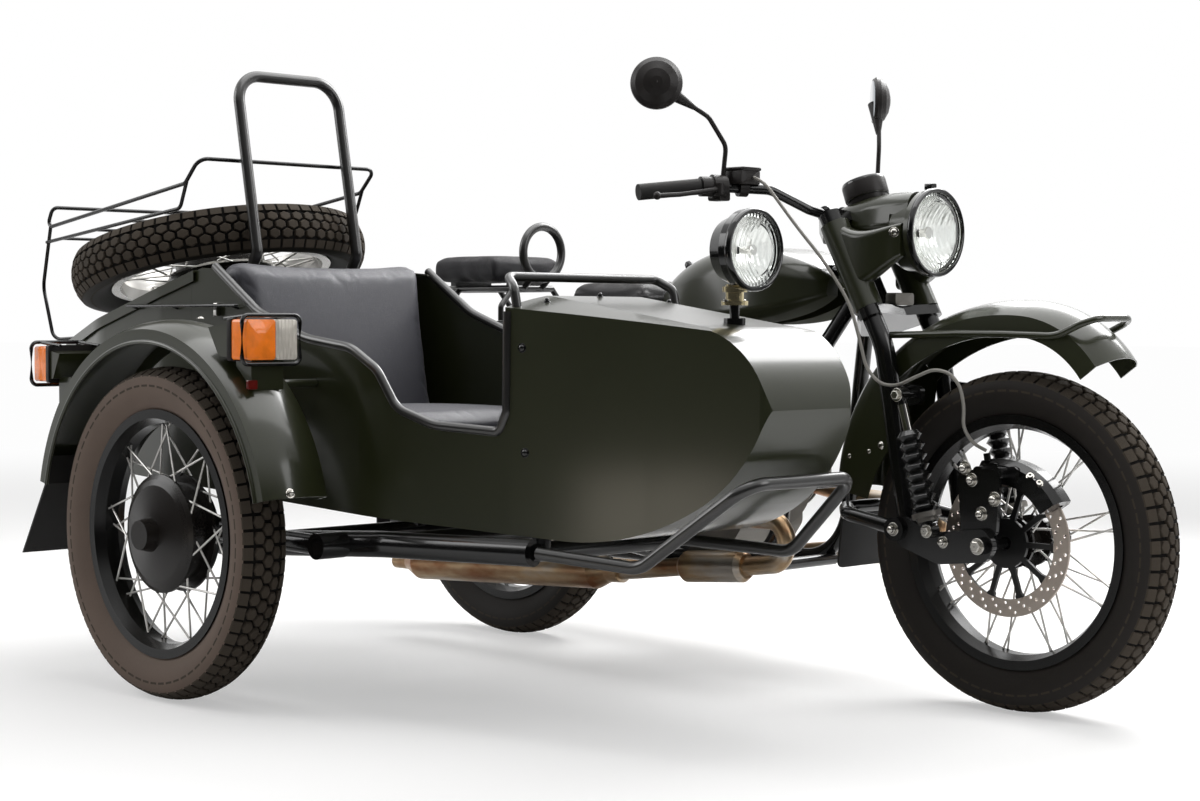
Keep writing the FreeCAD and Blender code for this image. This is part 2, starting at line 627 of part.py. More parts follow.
nodes["hand_controls"] = hand_controls()


# ---------------------------------------------------------------- motorcycle frame
RAIL_R = 17.0
FRAME_HALF = 118.0
REAR_GUARD_HALF = 80.0


STEM_BORE_R = STEM_R + SHAFT_GAP
CRADLE_Z = 252.0            # the lower rails
CRADLE_FRONT = V(960.0, 0, CRADLE_Z)
CRADLE_REAR = V(400.0, 0, CRADLE_Z)
CRADLE_TOP = V(372.0, 0, 430.0)
CRADLE_NECK = V(1010.0, 0, 640.0)
SEAT_RAIL_Y = 105.0
SEAT_RAIL_Z = 770.0
SEAT_RAIL_R = 12.0
SADDLE_Z = 814.0
REAR_SHOCK_TOP = V(-90.0, 0, SEAT_RAIL_Z)
REAR_SHOCK_FOOT = V(-20.0, 0, TYRE_R + 61.0)
REAR_SHOCK_Y = 140.0
GUARD_STAY_Z = TYRE_R + 397.0
BOX_Y = 131.0               # the side boxes' inner face
BOX_DEEP = 64.0
TUNNEL_HALF = 26.0          # the slot under the tank


def main_frame():
    """Headstock, top tube, twin cradle tubes, seat rails, cross tubes and the lugs on them."""
    head_low = on_stem(LOWER_YOKE + YOKE_HALF + 5)
    head_high = on_stem(UPPER_YOKE - YOKE_HALF - 5)
    pieces = [rod(head_low, head_high, HEAD_TUBE_R)]
    pieces.append(bent_tube([on_stem(-60.0), V(900, 0, 846), V(470, 0, 776), V(340, 0, 690)], RAIL_R,
                            [0, 200, 120, 0]))
    for side in (-1, 1):
        y = side * FRAME_HALF
        cradle = [on_stem(-110.0, 0, side * 12), CRADLE_NECK + V(0, y * 0.9, 0), CRADLE_FRONT + V(0, y, 0),
                  CRADLE_REAR + V(0, y, 0), CRADLE_TOP + V(0, y, 0), V(330, y * 0.75, 690),
                  V(345, side * 10, 700)]
        pieces.append(bent_tube(cradle, RAIL_R, [0, 160, 130, 90, 160, 60, 0]))
        rail_y = side * SEAT_RAIL_Y
        rail = [V(330, side * 80, 696), V(160, rail_y, SEAT_RAIL_Z), V(-250, rail_y, SEAT_RAIL_Z)]
        pieces.append(bent_tube(rail, SEAT_RAIL_R, [0, 120, 0]))
        stay = [V(380, y, 400), V(206, y, 420), V(-40, rail_y, 640), V(-60, rail_y, SEAT_RAIL_Z)]
        pieces.append(bent_tube(stay, SEAT_RAIL_R, [0, 120, 60, 0]))
        pieces.append(rod(REAR_SHOCK_TOP + V(0, rail_y, 0),
                          REAR_SHOCK_TOP + V(0, side * (REAR_SHOCK_Y - SHOCK_EYE_HALF - FIT), 0), 11.0))
        pieces.append(rod(V(-57, rail_y, GUARD_STAY_Z),
                          V(-57, side * (REAR_GUARD_HALF + FIT), GUARD_STAY_Z), 9.0))
        pieces.append(rod(V(100, side * 112, 515), V(100, side * (BOX_Y - FIT), 515), 11.0))
        pieces.append(rod(V(325, side * 82, 700), V(325, side * 82, SADDLE_Z - FIT), 13.0))
        pieces.append(rod(V(930, 0, 862), V(930, side * (TUNNEL_HALF - FIT), 862), 9.0))
    pieces.append(rod(V(545, 0, 780), V(545, 0, SADDLE_Z - FIT), 11.0))
    for x, z, radius in ((930, CRADLE_Z, 13.0), (440, CRADLE_Z, 13.0), (985, 428, 9.0)):
        pieces.append(rod(V(x, -FRAME_HALF, z), V(x, FRAME_HALF, z), radius))
    pieces.append(rod(V(-240, -SEAT_RAIL_Y, SEAT_RAIL_Z), V(-240, SEAT_RAIL_Y, SEAT_RAIL_Z), SEAT_RAIL_R))
    return cut(fuse(pieces), rod(head_low - STEER_UP * 5, head_high + STEER_UP * 5, STEM_BORE_R))


nodes["main_frame"] = main_frame()


# ---------------------------------------------------------------- engine
CRANK = V(650.0, 0, 430.0)
CASE_HALF = 118.0
BARREL_R = 62.0
FIN_R = 88.0


def engine():
    """Crankcase with a sump, a round front cover and the generator on top."""
    outline = [V(470, -CASE_HALF + 14, 300), V(470, -CASE_HALF + 14, 560), V(560, -CASE_HALF + 14, 590),
               V(760, -CASE_HALF + 14, 590), V(850, -CASE_HALF + 14, 500), V(850, -CASE_HALF + 14, 330),
               V(800, -CASE_HALF + 14, 262), V(500, -CASE_HALF + 14, 262)]
    case = rounded_plate(outline, [14, 20, 20, 40, 30, 30, 20, 14], V(0, 2 * CASE_HALF - 28, 0))
    flanges = rod(V(CRANK.x, -CASE_HALF - 6, CRANK.z), V(CRANK.x, CASE_HALF + 6, CRANK.z), 82.0)
    front = rod(V(845, 0, 430), V(885, 0, 430), 96.0)
    generator = rod(V(720, 0, 620), V(900, 0, 600), 52.0)
    feet = [box(x, x + 34, -FRAME_HALF + RAIL_R + FIT, FRAME_HALF - RAIL_R - FIT, 226, 268) for x in (540,
                                                                                                      750)]
    return fuse([case, flanges, front, generator] + feet)


PIPE_R = 20.0
INTAKE_R = 18.0
INTAKE = V(CRANK.x - 53, 240, CRANK.z + 32)
EXHAUST_PORT = V(CRANK.x + 52, 300, CRANK.z - 30)
EXHAUST_WAY = V(120, 0, -20).normalize()


def cylinder(side):
    """A finned barrel and head with a rounded rocker cover."""
    y0 = CASE_HALF + 6 + FIT
    pitch = 12.0
    fins = 15
    pairs = [(y0, 0.0), (y0, BARREL_R + 16), (y0 + 6, BARREL_R + 16), (y0 + 6, BARREL_R)]
    y = y0 + 8
    for i in range(fins):
        radius = FIN_R if i < 8 else FIN_R + 4
        pairs += [(y, BARREL_R), (y, radius), (y + 4, radius), (y + 4, BARREL_R)]
        y += pitch
    pairs += [(y, BARREL_R), (y, 0.0)]
    body = turned(polygon([V(CRANK.x, a, CRANK.z + r) for a, r in pairs]), CRANK, V(0, 1, 0))
    cover = rounded_plate([V(CRANK.x - 84, y - 2, CRANK.z - 46), V(CRANK.x + 84, y - 2, CRANK.z - 46),
                           V(CRANK.x + 84, y - 2, CRANK.z + 46), V(CRANK.x - 84, y - 2, CRANK.z + 46)],
                          [40, 40, 40, 40], V(0, 46, 0))
    rims = [e for e in cover.Edges if e.BoundBox.YMin > y + 40]
    cover = cover.makeFillet(14.0, rims)
    port = rod(EXHAUST_PORT - EXHAUST_WAY * FIT, EXHAUST_PORT + EXHAUST_WAY * 80, PIPE_R + FIT)
    intake = rod(INTAKE - V(2, 0, 0), INTAKE + V(-80, 0, 9.7), INTAKE_R + FIT)
    whole = cut(fuse([body, cover]), port, intake)
    if side < 0:
        whole = mirrored(whole)
    return whole


TAIL_GAP = 15.0             # from the rear tyre to the gearbox


def gearbox():
    """The gearbox behind the engine, with the kick-start boss on its left."""
    front = V(470 - FIT, -96, 0)
    case = rounded_plate([front + V(0, 0, 300), front + V(0, 0, 540), front + V(-52, 0, 530),
                          front + V(-52, 0, 290)],
                         [10, 14, 30, 30], V(0, 192, 0))
    rear = TYRE_R + TAIL_GAP
    tail = rounded_plate([V(430, -68, 296), V(430, -68, 530), V(rear + 27, -68, 510), V(rear, -68, 440),
                          V(rear, -68, 330), V(rear + 32, -68, 296)], [0, 0, 30, 40, 30, 20], V(0, 136, 0))
    return fuse([case, tail])


nodes["engine"] = engine()
nodes["right_cylinder"] = cylinder(-1)
nodes["left_cylinder"] = cylinder(1)
nodes["gearbox"] = gearbox()


def carburettors():
    """A carburettor behind each cylinder with its air pipe to the filter box."""
    pieces = []
    for side in (-1, 1):
        y = side * INTAKE.y
        stub = rod(V(INTAKE.x - 3, y, INTAKE.z), V(INTAKE.x - 71, y, INTAKE.z + 8.4), INTAKE_R)
        body = rod(V(540, y, 470), V(470, y, 480), 26.0)
        bowl = rod(V(505, y, 480), V(505, y, 420), 24.0)
        pipe = bent_tube([V(472, y, 480), V(430, y, 490), V(400, side * 120, 570), V(400, side * 60, 590)],
                         20.0,
                         [0, 50, 50, 0])
        pieces += [stub, body, bowl, pipe]
    pieces.append(box(352, 450, -66, 66, 545, 650))
    return fuse(pieces)


nodes["carburettors"] = carburettors()


# ---------------------------------------------------------------- exhaust
PIPE_Y = 260.0
SILENCER_R = 42.0
SILENCER_MOUTH = V(640.0, 0, 229.0)
SILENCER_TILT = 3.0         # degrees, the tail lower
SILENCER = (                # (distance ahead of the mouth, radius), from the tail
    (-790, 0), (-790, 18), (-740, 20), (-690, SILENCER_R), (-80, SILENCER_R), (-40, 26), (0, 26), (0, 0))
COLLECTOR_TAIL = V(826.0, 0, 255.0)
COLLECTOR_TILT = 4.8
COLLECTOR = ((0, 0), (0, 26), (12, 34), (168, 34), (180, 26), (180, 0))
HEADER = (                  # (x, y, z) from the cylinder head round the elbow to the silencer
    (1094, 264, 372), (1116, PIPE_Y, 336), (1102, PIPE_Y, 284), (999, PIPE_Y, 269.5), (826, PIPE_Y, 255),
    (636, PIPE_Y, 229))
HEADER_BENDS = [0, 60, 32, 40, 38, 200, 200, 0]


def exhaust():
    """A pipe from each cylinder head, forward and down round the elbow, to its silencer."""
    whole = []
    for side in (-1, 1):
        port = V(EXHAUST_PORT.x, side * EXHAUST_PORT.y, EXHAUST_PORT.z)
        bends = [V(x, side * y, z) for x, y, z in HEADER]
        pieces = [bent_tube([port, port + EXHAUST_WAY * 138] + bends, PIPE_R, HEADER_BENDS)]
        for table, start, tilt in ((SILENCER, SILENCER_MOUTH, SILENCER_TILT),
                                   (COLLECTOR, COLLECTOR_TAIL, COLLECTOR_TILT)):
            at = start + V(0, side * PIPE_Y, 0)
            can = turned_x(table, at)
            can.rotate(at, V(0, 1, 0), -tilt)
            pieces.append(can)
        whole.append(fuse(pieces))
    return Part.makeCompound(whole)


nodes["exhaust"] = exhaust()


# ---------------------------------------------------------------- rear end
ARM_R = 13.0
ARM_PIVOT = V(386.0, FRAME_HALF - RAIL_R - FIT - ARM_R, 335.0)
ARM_Y = 102.0               # the arms at the axle


def rear_swing_arm():
    """Two arms from the frame to the rear axle, the bevel box on the right and a shock lug on each."""
    pieces = []
    for side in (-1, 1):
        pieces.append(bent_tube([V(ARM_PIVOT.x, side * ARM_PIVOT.y, ARM_PIVOT.z),
                                 V(200, side * ARM_Y, TYRE_R - 5),
                                 V(0, side * ARM_Y, TYRE_R)], ARM_R, [0, 400, 0]))
        pieces.append(rod(V(0, side * ARM_Y, TYRE_R), REAR_SHOCK_FOOT + V(0, side * ARM_Y, 0), 11.0))
        pieces.append(rod(REAR_SHOCK_FOOT + V(0, side * (ARM_Y - 11), 0),
                          REAR_SHOCK_FOOT + V(0, side * (REAR_SHOCK_Y - SHOCK_EYE_HALF - FIT), 0), 11.0))
    bevel = turned(polygon([V(0, -y, TYRE_R + r) for y,
                            r in ((50, 0), (50, 70), (62, 84), (100, 84), (122, 50),
                                                             (126, 0))]), REAR_AXLE, V(0, 1, 0))
    pieces.append(bevel)
    pieces.append(rod(V(0, -120, TYRE_R), V(0, ARM_Y + 14, TYRE_R), AXLE_R))
    return fuse(pieces)


nodes["rear_swing_arm"] = rear_swing_arm()
rear_shock = shock_absorber(REAR_SHOCK_TOP + V(0, -REAR_SHOCK_Y, 0),
                            REAR_SHOCK_FOOT + V(0, -REAR_SHOCK_Y, 0), 26.0, 9,
                            eye_half=SHOCK_EYE_HALF, cover=0.3)
nodes["rear_shocks"] = Part.makeCompound([rear_shock, mirrored(rear_shock)])
REAR_GUARD_R = 436.0
nodes["rear_mudguard"] = mudguard(REAR_AXLE, REAR_GUARD_R, 64.0, REAR_GUARD_HALF, -110.0, 30.0)


# ---------------------------------------------------------------- tank and saddles
def tank():
    """A teardrop tank lofted through five rounded sections."""
    sections = []
    for x, w, z0, z1 in ((1052, 66, 838, 878), (970, 138, 800, 926), (840, 156, 778, 946),
                         (700, 140, 780, 922),
                         (572, 74, 800, 848)):
        r = min(w, z1 - z0) * 0.44
        sections.append(rounded_outline([V(x, -w, z0), V(x, w, z0), V(x, w * 0.86, z1),
                                         V(x, -w * 0.86, z1)],
                                        [r * 0.4, r * 0.4, r, r]))
    tunnel = plate([V(500, -TUNNEL_HALF, 700), V(1100, -TUNNEL_HALF, 700), V(1100, -TUNNEL_HALF, 930),
                    V(900, -TUNNEL_HALF, 872), V(500, -TUNNEL_HALF, 806)], V(0, 2 * TUNNEL_HALF, 0))
    return cut(solid_of(Part.makeLoft(sections, True, False)), tunnel)


nodes["fuel_tank"] = tank()
nodes["rider_saddle"] = cushion(300, 566, -130, 130, SADDLE_Z, 868, 60)
nodes["pillion_pad"] = cushion(-190, 50, -122, 122, 884, 940, 40)


# ---------------------------------------------------------------- sidecar body
NOSE_X, NOSE_Z = 1548.0, 628.0
COCKPIT_FRONT = 1006.0
CREST_Z, CREST_FRONT_Z = 830.0, 775.0
CREST_FRONT_X = 1390.0
CROWN_R = 873.0             # the cowl's top across the machine
REAR_X = -560.0
LID_SLOPE = math.radians(14.5)
LID_SHEET = 4.0
LID_FRONT_X, LID_FRONT_Z = 100.0, 893.0
BOOT_WALL_X = 60.0          # the wall between the seat and the boot
SHELF_X, SHELF_Z = 640.0, 496.0     # the board under the cushion: its front edge and its top
FLOOR_REAR, FLOOR_FRONT = V(-300, 0, 440), V(1110, 0, 378)
HALF_WIDTHS = (             # (x, half width of the body)
    (REAR_X, 232.0), (-330.0, 285.0), (-60.0, 296.0), (690.0, 296.0), (1010.0, 232.0), (1300.0, 168.0),
    (NOSE_X, 118.0))


def floor_z(x):
    """Height of the body's underside at x, between its two bends."""
    fall = FLOOR_REAR - FLOOR_FRONT
    return FLOOR_FRONT.z + (x - FLOOR_FRONT.x) * fall.z / fall.x


def crest_z(x):
    """Height of the cowl's crest at x."""
    return CREST_Z - (x - COCKPIT_FRONT) * (CREST_Z - CREST_FRONT_Z) / (CREST_FRONT_X - COCKPIT_FRONT)


def lid_z(x):
    """Height of the boot's sloping top at x."""
    return LID_FRONT_Z - (LID_FRONT_X - x) * math.tan(LID_SLOPE)


def body_outline(inset):
    """The body's side outline, moved inwards by inset."""
    def p(x, z):
        return V(x, 0, z)
    i = inset
    nose = [p(COCKPIT_FRONT, CREST_Z - i), p(CREST_FRONT_X, CREST_FRONT_Z - i)]
    edges = []
    rear_top = p(REAR_X + i, lid_z(REAR_X) - i)
    rear_low = p(REAR_X + i, 520 + i)
    under = FLOOR_REAR + V(0, 0, i)
    low = FLOOR_FRONT + V(0, 0, i)
    tip = p(NOSE_X - i, NOSE_Z)
    chin = p(1406, 448 + i)
    edges.append(Part.LineSegment(rear_low, rear_top).toShape())
    edges.append(Part.LineSegment(rear_top, p(LID_FRONT_X, LID_FRONT_Z - i)).toShape())
    edges.append(Part.LineSegment(p(LID_FRONT_X, LID_FRONT_Z - i), nose[0]).toShape())
    edges.append(Part.LineSegment(nose[0], nose[1]).toShape())
    edges.append(Part.Arc(nose[1], p(1503 - i * 0.7, 722 - i * 0.7), tip).toShape())
    edges.append(Part.Arc(tip, p(1500 - i * 0.8, 532 + i * 0.5), chin).toShape())
    edges.append(Part.Arc(chin, p(1270, 392 + i), low).toShape())
    edges.append(Part.LineSegment(low, under).toShape())
    edges.append(Part.LineSegment(under, rear_low).toShape())
    return Part.Wire(edges)


def body_plan(inset):
    """The body's plan outline at floor level, moved inwards by inset."""
    right = [V(x - (inset if x == NOSE_X else 0) + (inset if x == REAR_X else 0), BODY_Y - w + inset, 0)
             for x, w in HALF_WIDTHS]
    left = [V(p.x, 2 * BODY_Y - p.y, 0) for p in right]
    points = right + list(reversed(left))
    bends = [30 - inset, 250, 400, 500, 400, 300, 20 - inset]
    return rounded_outline(points, bends + list(reversed(bends)))


def body_block(inset):
    """The solid inside the side outline and the plan outline."""
    side = Part.Face(body_outline(inset)).extrude(V(0, -800, 0))
    side.translate(V(0, BODY_Y + 400, 0))
    plan = Part.Face(body_plan(inset)).extrude(V(0, 0, 1000))
    plan.translate(V(0, 0, 100))
    axis = V(COCKPIT_FRONT, BODY_Y, CREST_Z - CROWN_R)
    fall = V(CREST_FRONT_X - COCKPIT_FRONT, 0, CREST_FRONT_Z - CREST_Z)
    crown = rod(axis - fall, axis + fall * 2.0, CROWN_R - inset)
    above = cut(box(COCKPIT_FRONT - 8, NOSE_X + 10, BODY_Y - 400, BODY_Y + 400, 700, 1000), crown)
    return cut(solid_of(side.common(plan)), above)


RIM_RIGHT = ((100, 1000), (100, 896), (147, 896), (310, 796), (463, 746), (612, 728), (694, 686),
             (742, 612),
             (832, 582), (952, 576), (1000, 600), (1000, 830), (1006, 1000))


def sidecar_body():
    """The hollow body: sides, nose, floor and the wall behind the seat."""
    shell = cut(body_block(0.0), body_block(WALL))
    bulkhead = body_block(0.5).common(box(BOOT_WALL_X, BOOT_WALL_X + WALL, BODY_Y - 400, BODY_Y + 400, 300,
                                          1000))
    right_cut = plate([V(x, BODY_Y - 400, z) for x, z in RIM_RIGHT], V(0, 400, 0))
    left_cut = plate([V(x, BODY_Y, z) for x, z in ((100, 1000), (100, 896), (147, 896), (310, 796),
                                                   (463, 746),
                                                   (940, 746), (1000, 790), (1000, 1000))], V(0, 400, 0))
    def over_lid(x, z=None):
        return V(x, BODY_Y - 400, lid_z(x) - LID_SHEET - FIT if z is None else z)
    lid_cut = plate([over_lid(REAR_X - 10), over_lid(79), over_lid(79, 1000), over_lid(REAR_X - 10, 1000)],
                    V(0, 800, 0))
    mouth = Part.Face(body_plan(WALL)).extrude(V(0, 0, 500))
    mouth.translate(V(0, 0, 600))
    mouth = mouth.common(box(REAR_X, BOOT_WALL_X, BODY_Y - 400, BODY_Y + 400, 600, 1100))
    shelf = body_block(0.5).common(box(BOOT_WALL_X, SHELF_X, BODY_Y - 400, BODY_Y + 400, SHELF_Z - WALL,
                                       SHELF_Z))
    board = body_block(0.5).common(box(SHELF_X - WALL, SHELF_X, BODY_Y - 400, BODY_Y + 400, 300, SHELF_Z))
    behind_seat = box(80, 300, BODY_Y - 280, BODY_Y + 280, 700, 1000)
    return cut(fuse([shell, bulkhead, shelf, board]), right_cut, left_cut, lid_cut, behind_seat, mouth)


def biggest(shape):
    """The largest solid, without the crumbs that a cut leaves."""
    return max(shape.Solids, key=lambda solid: solid.Volume)


whole_body = sidecar_body()
nodes["sidecar_tub"] = cut(whole_body, box(REAR_X - 10, BOOT_WALL_X, BODY_Y - 400, BODY_Y + 400, 300, 1100))
nodes["sidecar_boot"] = biggest(cut(whole_body, box(BOOT_WALL_X - FIT, NOSE_X + 10, BODY_Y - 400,
                                                    BODY_Y + 400,
                                                    300, 1100)))

# ---------------------------------------------------------------- small pieces on the motorcycle
GRAB_RING = V(96.0, 0, 950.0)
GRAB_RING_R = 64.0
GRAB_RING_TUBE_R = 10.5


def pillion_rail():
    """The frame under the pillion pad, with the grab ring in front of it and a strut each side."""
    pieces = []
    for side in (-1, 1):
        y = side * 66.0
        pieces.append(rod(V(-262, y, 862), V(60, y, 862), 8.0))
        for x_foot in (-137, 60):
            foot = [V(x_foot, y, 862), V(x_foot, side * SEAT_RAIL_Y, 818),
                    V(x_foot, side * SEAT_RAIL_Y, SEAT_RAIL_Z + SEAT_RAIL_R + FIT)]
            pieces.append(bent_tube(foot, 7.0, [0, 14, 0]))
    for x in (-262, 60):
        pieces.append(rod(V(x, -66, 862), V(x, 66, 862), 8.0))
    pieces.append(Part.makeTorus(GRAB_RING_R, GRAB_RING_TUBE_R, GRAB_RING, V(1, 0, 0)))
    for side in (-1, 1):
        pieces.append(rod(V(60, side * 30, 862), V(GRAB_RING.x, side * 30, 893), 7.0))
    for x_pad in (-180, 30):
        pieces.append(box(x_pad, x_pad + 20, -60, 60, 868, 884 - FIT))
    return fuse(pieces)


nodes["pillion_rail"] = pillion_rail()


def tail_lamp():
    """The lamp on the mudguard's tail with a bracket for the number plate."""
    base = on_circle(REAR_AXLE, REAR_GUARD_R, -84.0)
    block = rounded_plate([base + V(4 , -45, -10), base + V(4, 45, -10), base + V(4, 45, 60),
                           base + V(4, -45, 60)],
                          [10, 10, 14, 14], V(-52, 0, 0))
    board = rounded_plate([base + V(-4, -92, -160), base + V(-4, 92, -160), base + V(-4, 92, -16),
                           base + V(-4, -92, -16)], [10] * 4, V(-4, 0, 0))
    for y in (-73, 73):
        for z in (-123, -53):
            board = cut(board, rod(base + V(5, y, z), base + V(-15, y, z), 3.5))
    block = cut(block, rod(REAR_AXLE - V(0, 100, 0), REAR_AXLE + V(0, 100, 0), REAR_GUARD_R + FIT))
    return fuse([block, board, box(base.x - 10, base.x - 6, -30, 30, base.z - 40, base.z + 6)])


nodes["tail_lamp"] = tail_lamp()


def side_boxes():
    """A battery box and a tool box, one each side behind the gearbox."""
    pieces = []
    for side in (-1, 1):
        near, far = sorted((side * BOX_Y, side * (BOX_Y + BOX_DEEP)))
        pieces.append(cushion(30, 180, near, far, 450, 620, 24))
    return Part.makeCompound(pieces)


nodes["side_boxes"] = side_boxes()


PEG_X = 470.0


def foot_controls():
    """A footrest each side under the gearbox, with the brake and gear pedals."""
    pieces = []
    for side in (-1, 1):
        y0 = side * (FRAME_HALF + RAIL_R + FIT)
        peg = [rod(V(PEG_X, y0, CRADLE_Z), V(PEG_X, y0 + side * 18, CRADLE_Z), 10.0),
               rod(V(PEG_X, y0 + side * 11, CRADLE_Z - 7), V(PEG_X, y0 + side * 11, 292), 7.0),
               rod(V(PEG_X, y0 + side * 2, 292), V(PEG_X, side * 252, 292), 15.0)]
        pieces.append(fuse(peg))
    return Part.makeCompound(pieces)


nodes["foot_controls"] = foot_controls()


FLAP_HALF = 88.0
FLAP_LOW = 262.0
FLAP_THICK = 5.0


def splash_flap():
    """The rubber flap that hangs from the leading arm's loop, behind the front wheel."""
    x = LOOP_BACK.x - FLAP_THICK / 2
    low, high = FLAP_LOW, LOOP_BACK.z
    corners = [V(x, -FLAP_HALF, low), V(x, FLAP_HALF, low), V(x, FLAP_HALF - 18, high),
               V(x, 18 - FLAP_HALF, high)]
    flap = rounded_plate(corners, [14, 14, 4, 4], V(FLAP_THICK, 0, 0))
    loop = rod(LOOP_BACK - V(0, LINK_Y, 0), LOOP_BACK + V(0, LINK_Y, 0), LINK_R + FIT)
    return cut(flap, loop)


nodes["splash_flap"] = splash_flap()


# ---------------------------------------------------------------- small pieces on the fork
MIRROR_NECK_R = 20.0


def mirrors():
    """A round mirror on a bent stem each side, clamped round the bar and turned inwards."""
    whole = []
    perch = BAR_POINTS[2] + (BAR_POINTS[3] - BAR_POINTS[2]) * 0.72
    way = (BAR_POINTS[3] - BAR_POINTS[2]).normalize()
    for side, stem, head, turn in ((-1, [V(940, -262, 1150), V(952, -330, 1206), V(918, -420, 1258)],
                                    V(908, -440, 1270), -45.0),
                                   (1, [V(934, 262, 1180), V(922, 276, 1230), V(910, 288, 1262)],
                                    V(900, 294, 1288), 45.0)):
        base = V(perch.x, -side * perch.y, perch.z)
        along = V(way.x, -side * way.y, way.z)
        collar = rod(base - along * 8, base + along * 8, BAR_R + 6)
        start = base + V(0, 0, BAR_R + 4)
        pole = bent_tube([start] + stem, 5.0, [0, 30, 40, 0] if side < 0 else [0, 60, 30, 0])
        shell = turned_x([(-8, 0), (-8, 50), (-2, 54), (6, 53), (18, 44), (27, 28), (31, 12), (32, 0)],
                         head)
        shell.rotate(head, V(0, 0, 1), turn)
        bend = stem[0] if side > 0 else stem[1]
        neck = cone(head + (bend - head) * 0.08, head + (bend - head) * 0.72, MIRROR_NECK_R, 5.6)
        whole.append(cut(fuse([collar, pole, shell, neck]),
                         rod(base - along * 20, base + along * 20, BAR_R + FIT)))
    return Part.makeCompound(whole)


nodes["mirrors"] = mirrors()


def speedometer():
    """A round instrument sunk in the nacelle's top, facing back and up."""
    tilt = math.radians(20.0)
    up = V(-math.sin(tilt), 0, math.cos(tilt))
    low = V(1114.0, 0, 1034.0)
    return fuse([rod(low, low + up * 30, 40.0), rod(low + up * 12, low + up * 46, 46.0)])


nodes["headlamp"] = fuse([nodes["headlamp"], speedometer()])


CALIPER_FROM, CALIPER_TO = -16.0, 57.0      # degrees from straight up, forwards positive
CALIPER_IN, CALIPER_OUT = 121.0, 170.0      # radii over the pads and over its back
PISTONS = (-2.0, 16.0, 34.0)                # degrees
PISTON_R = 17.0


def front_caliper():
    """A caliper that hugs the disc's upper front edge, on a bolted plate on the leading arm."""
    inside, outside = DISC_Y + 21.0, DISC_Y - 36.0
    r0, r1 = CALIPER_IN, CALIPER_OUT
    section = polygon([FRONT_AXLE + V(0, y, r) for y, r in (
        (inside, r0), (inside, r1 - 14), (inside - 12, r1), (outside + 14, r1), (outside, r1 - 12),
        (outside, r0))])
    section.rotate(FRONT_AXLE, V(0, 1, 0), CALIPER_FROM)
    body = turned(section, FRONT_AXLE, V(0, 1, 0), CALIPER_TO - CALIPER_FROM)
    middle = (r0 + r1) / 2
    bosses = [rod(on_circle(FRONT_AXLE, middle, a, outside + 4),
                  on_circle(FRONT_AXLE, middle, a, outside - 7), PISTON_R)
              for a in PISTONS]
    slot = cut(rod(FRONT_AXLE + V(0, DISC_Y - DISC_HALF - 5, 0),
                   FRONT_AXLE + V(0, DISC_Y + DISC_HALF + 5, 0),
                   DISC_R + 6))
    y = -(LINK_Y - 7.0 - FIT)
    low_rear, low_front = FRONT_AXLE + V(-58, y, 18), FRONT_AXLE + V(24, y, 16)
    top_front = on_circle(FRONT_AXLE, middle + 12, 12.0, y)
    top_rear = on_circle(FRONT_AXLE, middle + 16, -26.0, y)
    plate_out = rounded_plate([low_rear, low_front, top_front, top_rear], [16, 14, 20, 22], V(0, 9, 0))
    banjo = rod(on_circle(FRONT_AXLE, r1 - 4, -10.0, -78.0), on_circle(FRONT_AXLE, r1 + 12, -10.0, -78.0),
                7.0)
    links = [rod(on_circle(FRONT_AXLE, middle, a, y + 2), on_circle(FRONT_AXLE, middle, a, outside + 10),
                 12.0)
             for a in (-9.0, 9.0)]
    return fuse([cut(fuse([body] + bosses), slot), plate_out, banjo] + links)


nodes["front_caliper"] = front_caliper()

HOSE_R = 3.5
HOSE_BEND = 0.45            # an arc's share of the shorter run beside it
HOSE = (                    # from the fluid box round the fork to the caliper
    (975.5, -214, 1086), (1004, -210, 1072), (1029.9, -205, 1040.7), (1075.1, -190, 979.5),
    (1132.8, -168, 906.3),
    (1185.3, -150, 821.5), (1208.7, -142, 735.2), (1220.7, -140, 688.1), (1257.3, -140, 656.1),
    (1300.8, -140, 653.1), (1344.3, -138, 672.2), (1390.5, -137, 689.2), (1428.2, -135, 681.9),
    (1449.9, -131, 656.5), (1456.5, -126, 618.9), (1448.9, -118, 572.7), (1459.5, -98, 541.5),
    (1477.6, -79, 527.4))


def brake_hose():
    """The front brake's hose: straight runs joined by tangent arcs."""
    points = [V(*row) for row in HOSE]
    bends = [0.0]
    for before, here, after in zip(points, points[1:], points[2:]):
        turn = (here - before).getAngle(after - here)
        shorter = min((here - before).Length, (after - here).Length)
        bends.append(HOSE_BEND * shorter / math.tan(turn / 2))
    bends.append(0.0)
    hose = bent_tube(points, HOSE_R, bends)
    path = route(points, bends)
    print("brake hose: radii", [round(r, 1) for r in bends[1:-1]], "volume %.1f, section by length %.1f"
          % (hose.Volume, math.pi * HOSE_R ** 2 * path.Length))
    return hose


nodes["brake_hose"] = brake_hose()

# ---------------------------------------------------------------- sidecar: seats and rails
SEAT_HALF = 266.0
SEAT_LEAN = 9.5             # degrees, the back's foot forwards
SEAT_TOP = V(178, 0, 912)   # the back's upper front edge
SEAT_THICK = 95.0
SEAT_DEEP = 404.0           # the back's length


def leaning(shape):
    """What was made upright, leaned back about the seat back's upper front edge."""
    shape.rotate(SEAT_TOP, V(0, 1, 0), -SEAT_LEAN)
    return shape


def seat_back(grow):
    """The upright cushion, or its clearance when grown."""
    return leaning(cushion(SEAT_TOP.x - SEAT_THICK - grow, SEAT_TOP.x + grow, BODY_Y - SEAT_HALF - grow,
                           BODY_Y + SEAT_HALF + grow, SEAT_TOP.z - SEAT_DEEP - grow, SEAT_TOP.z + grow, 20))


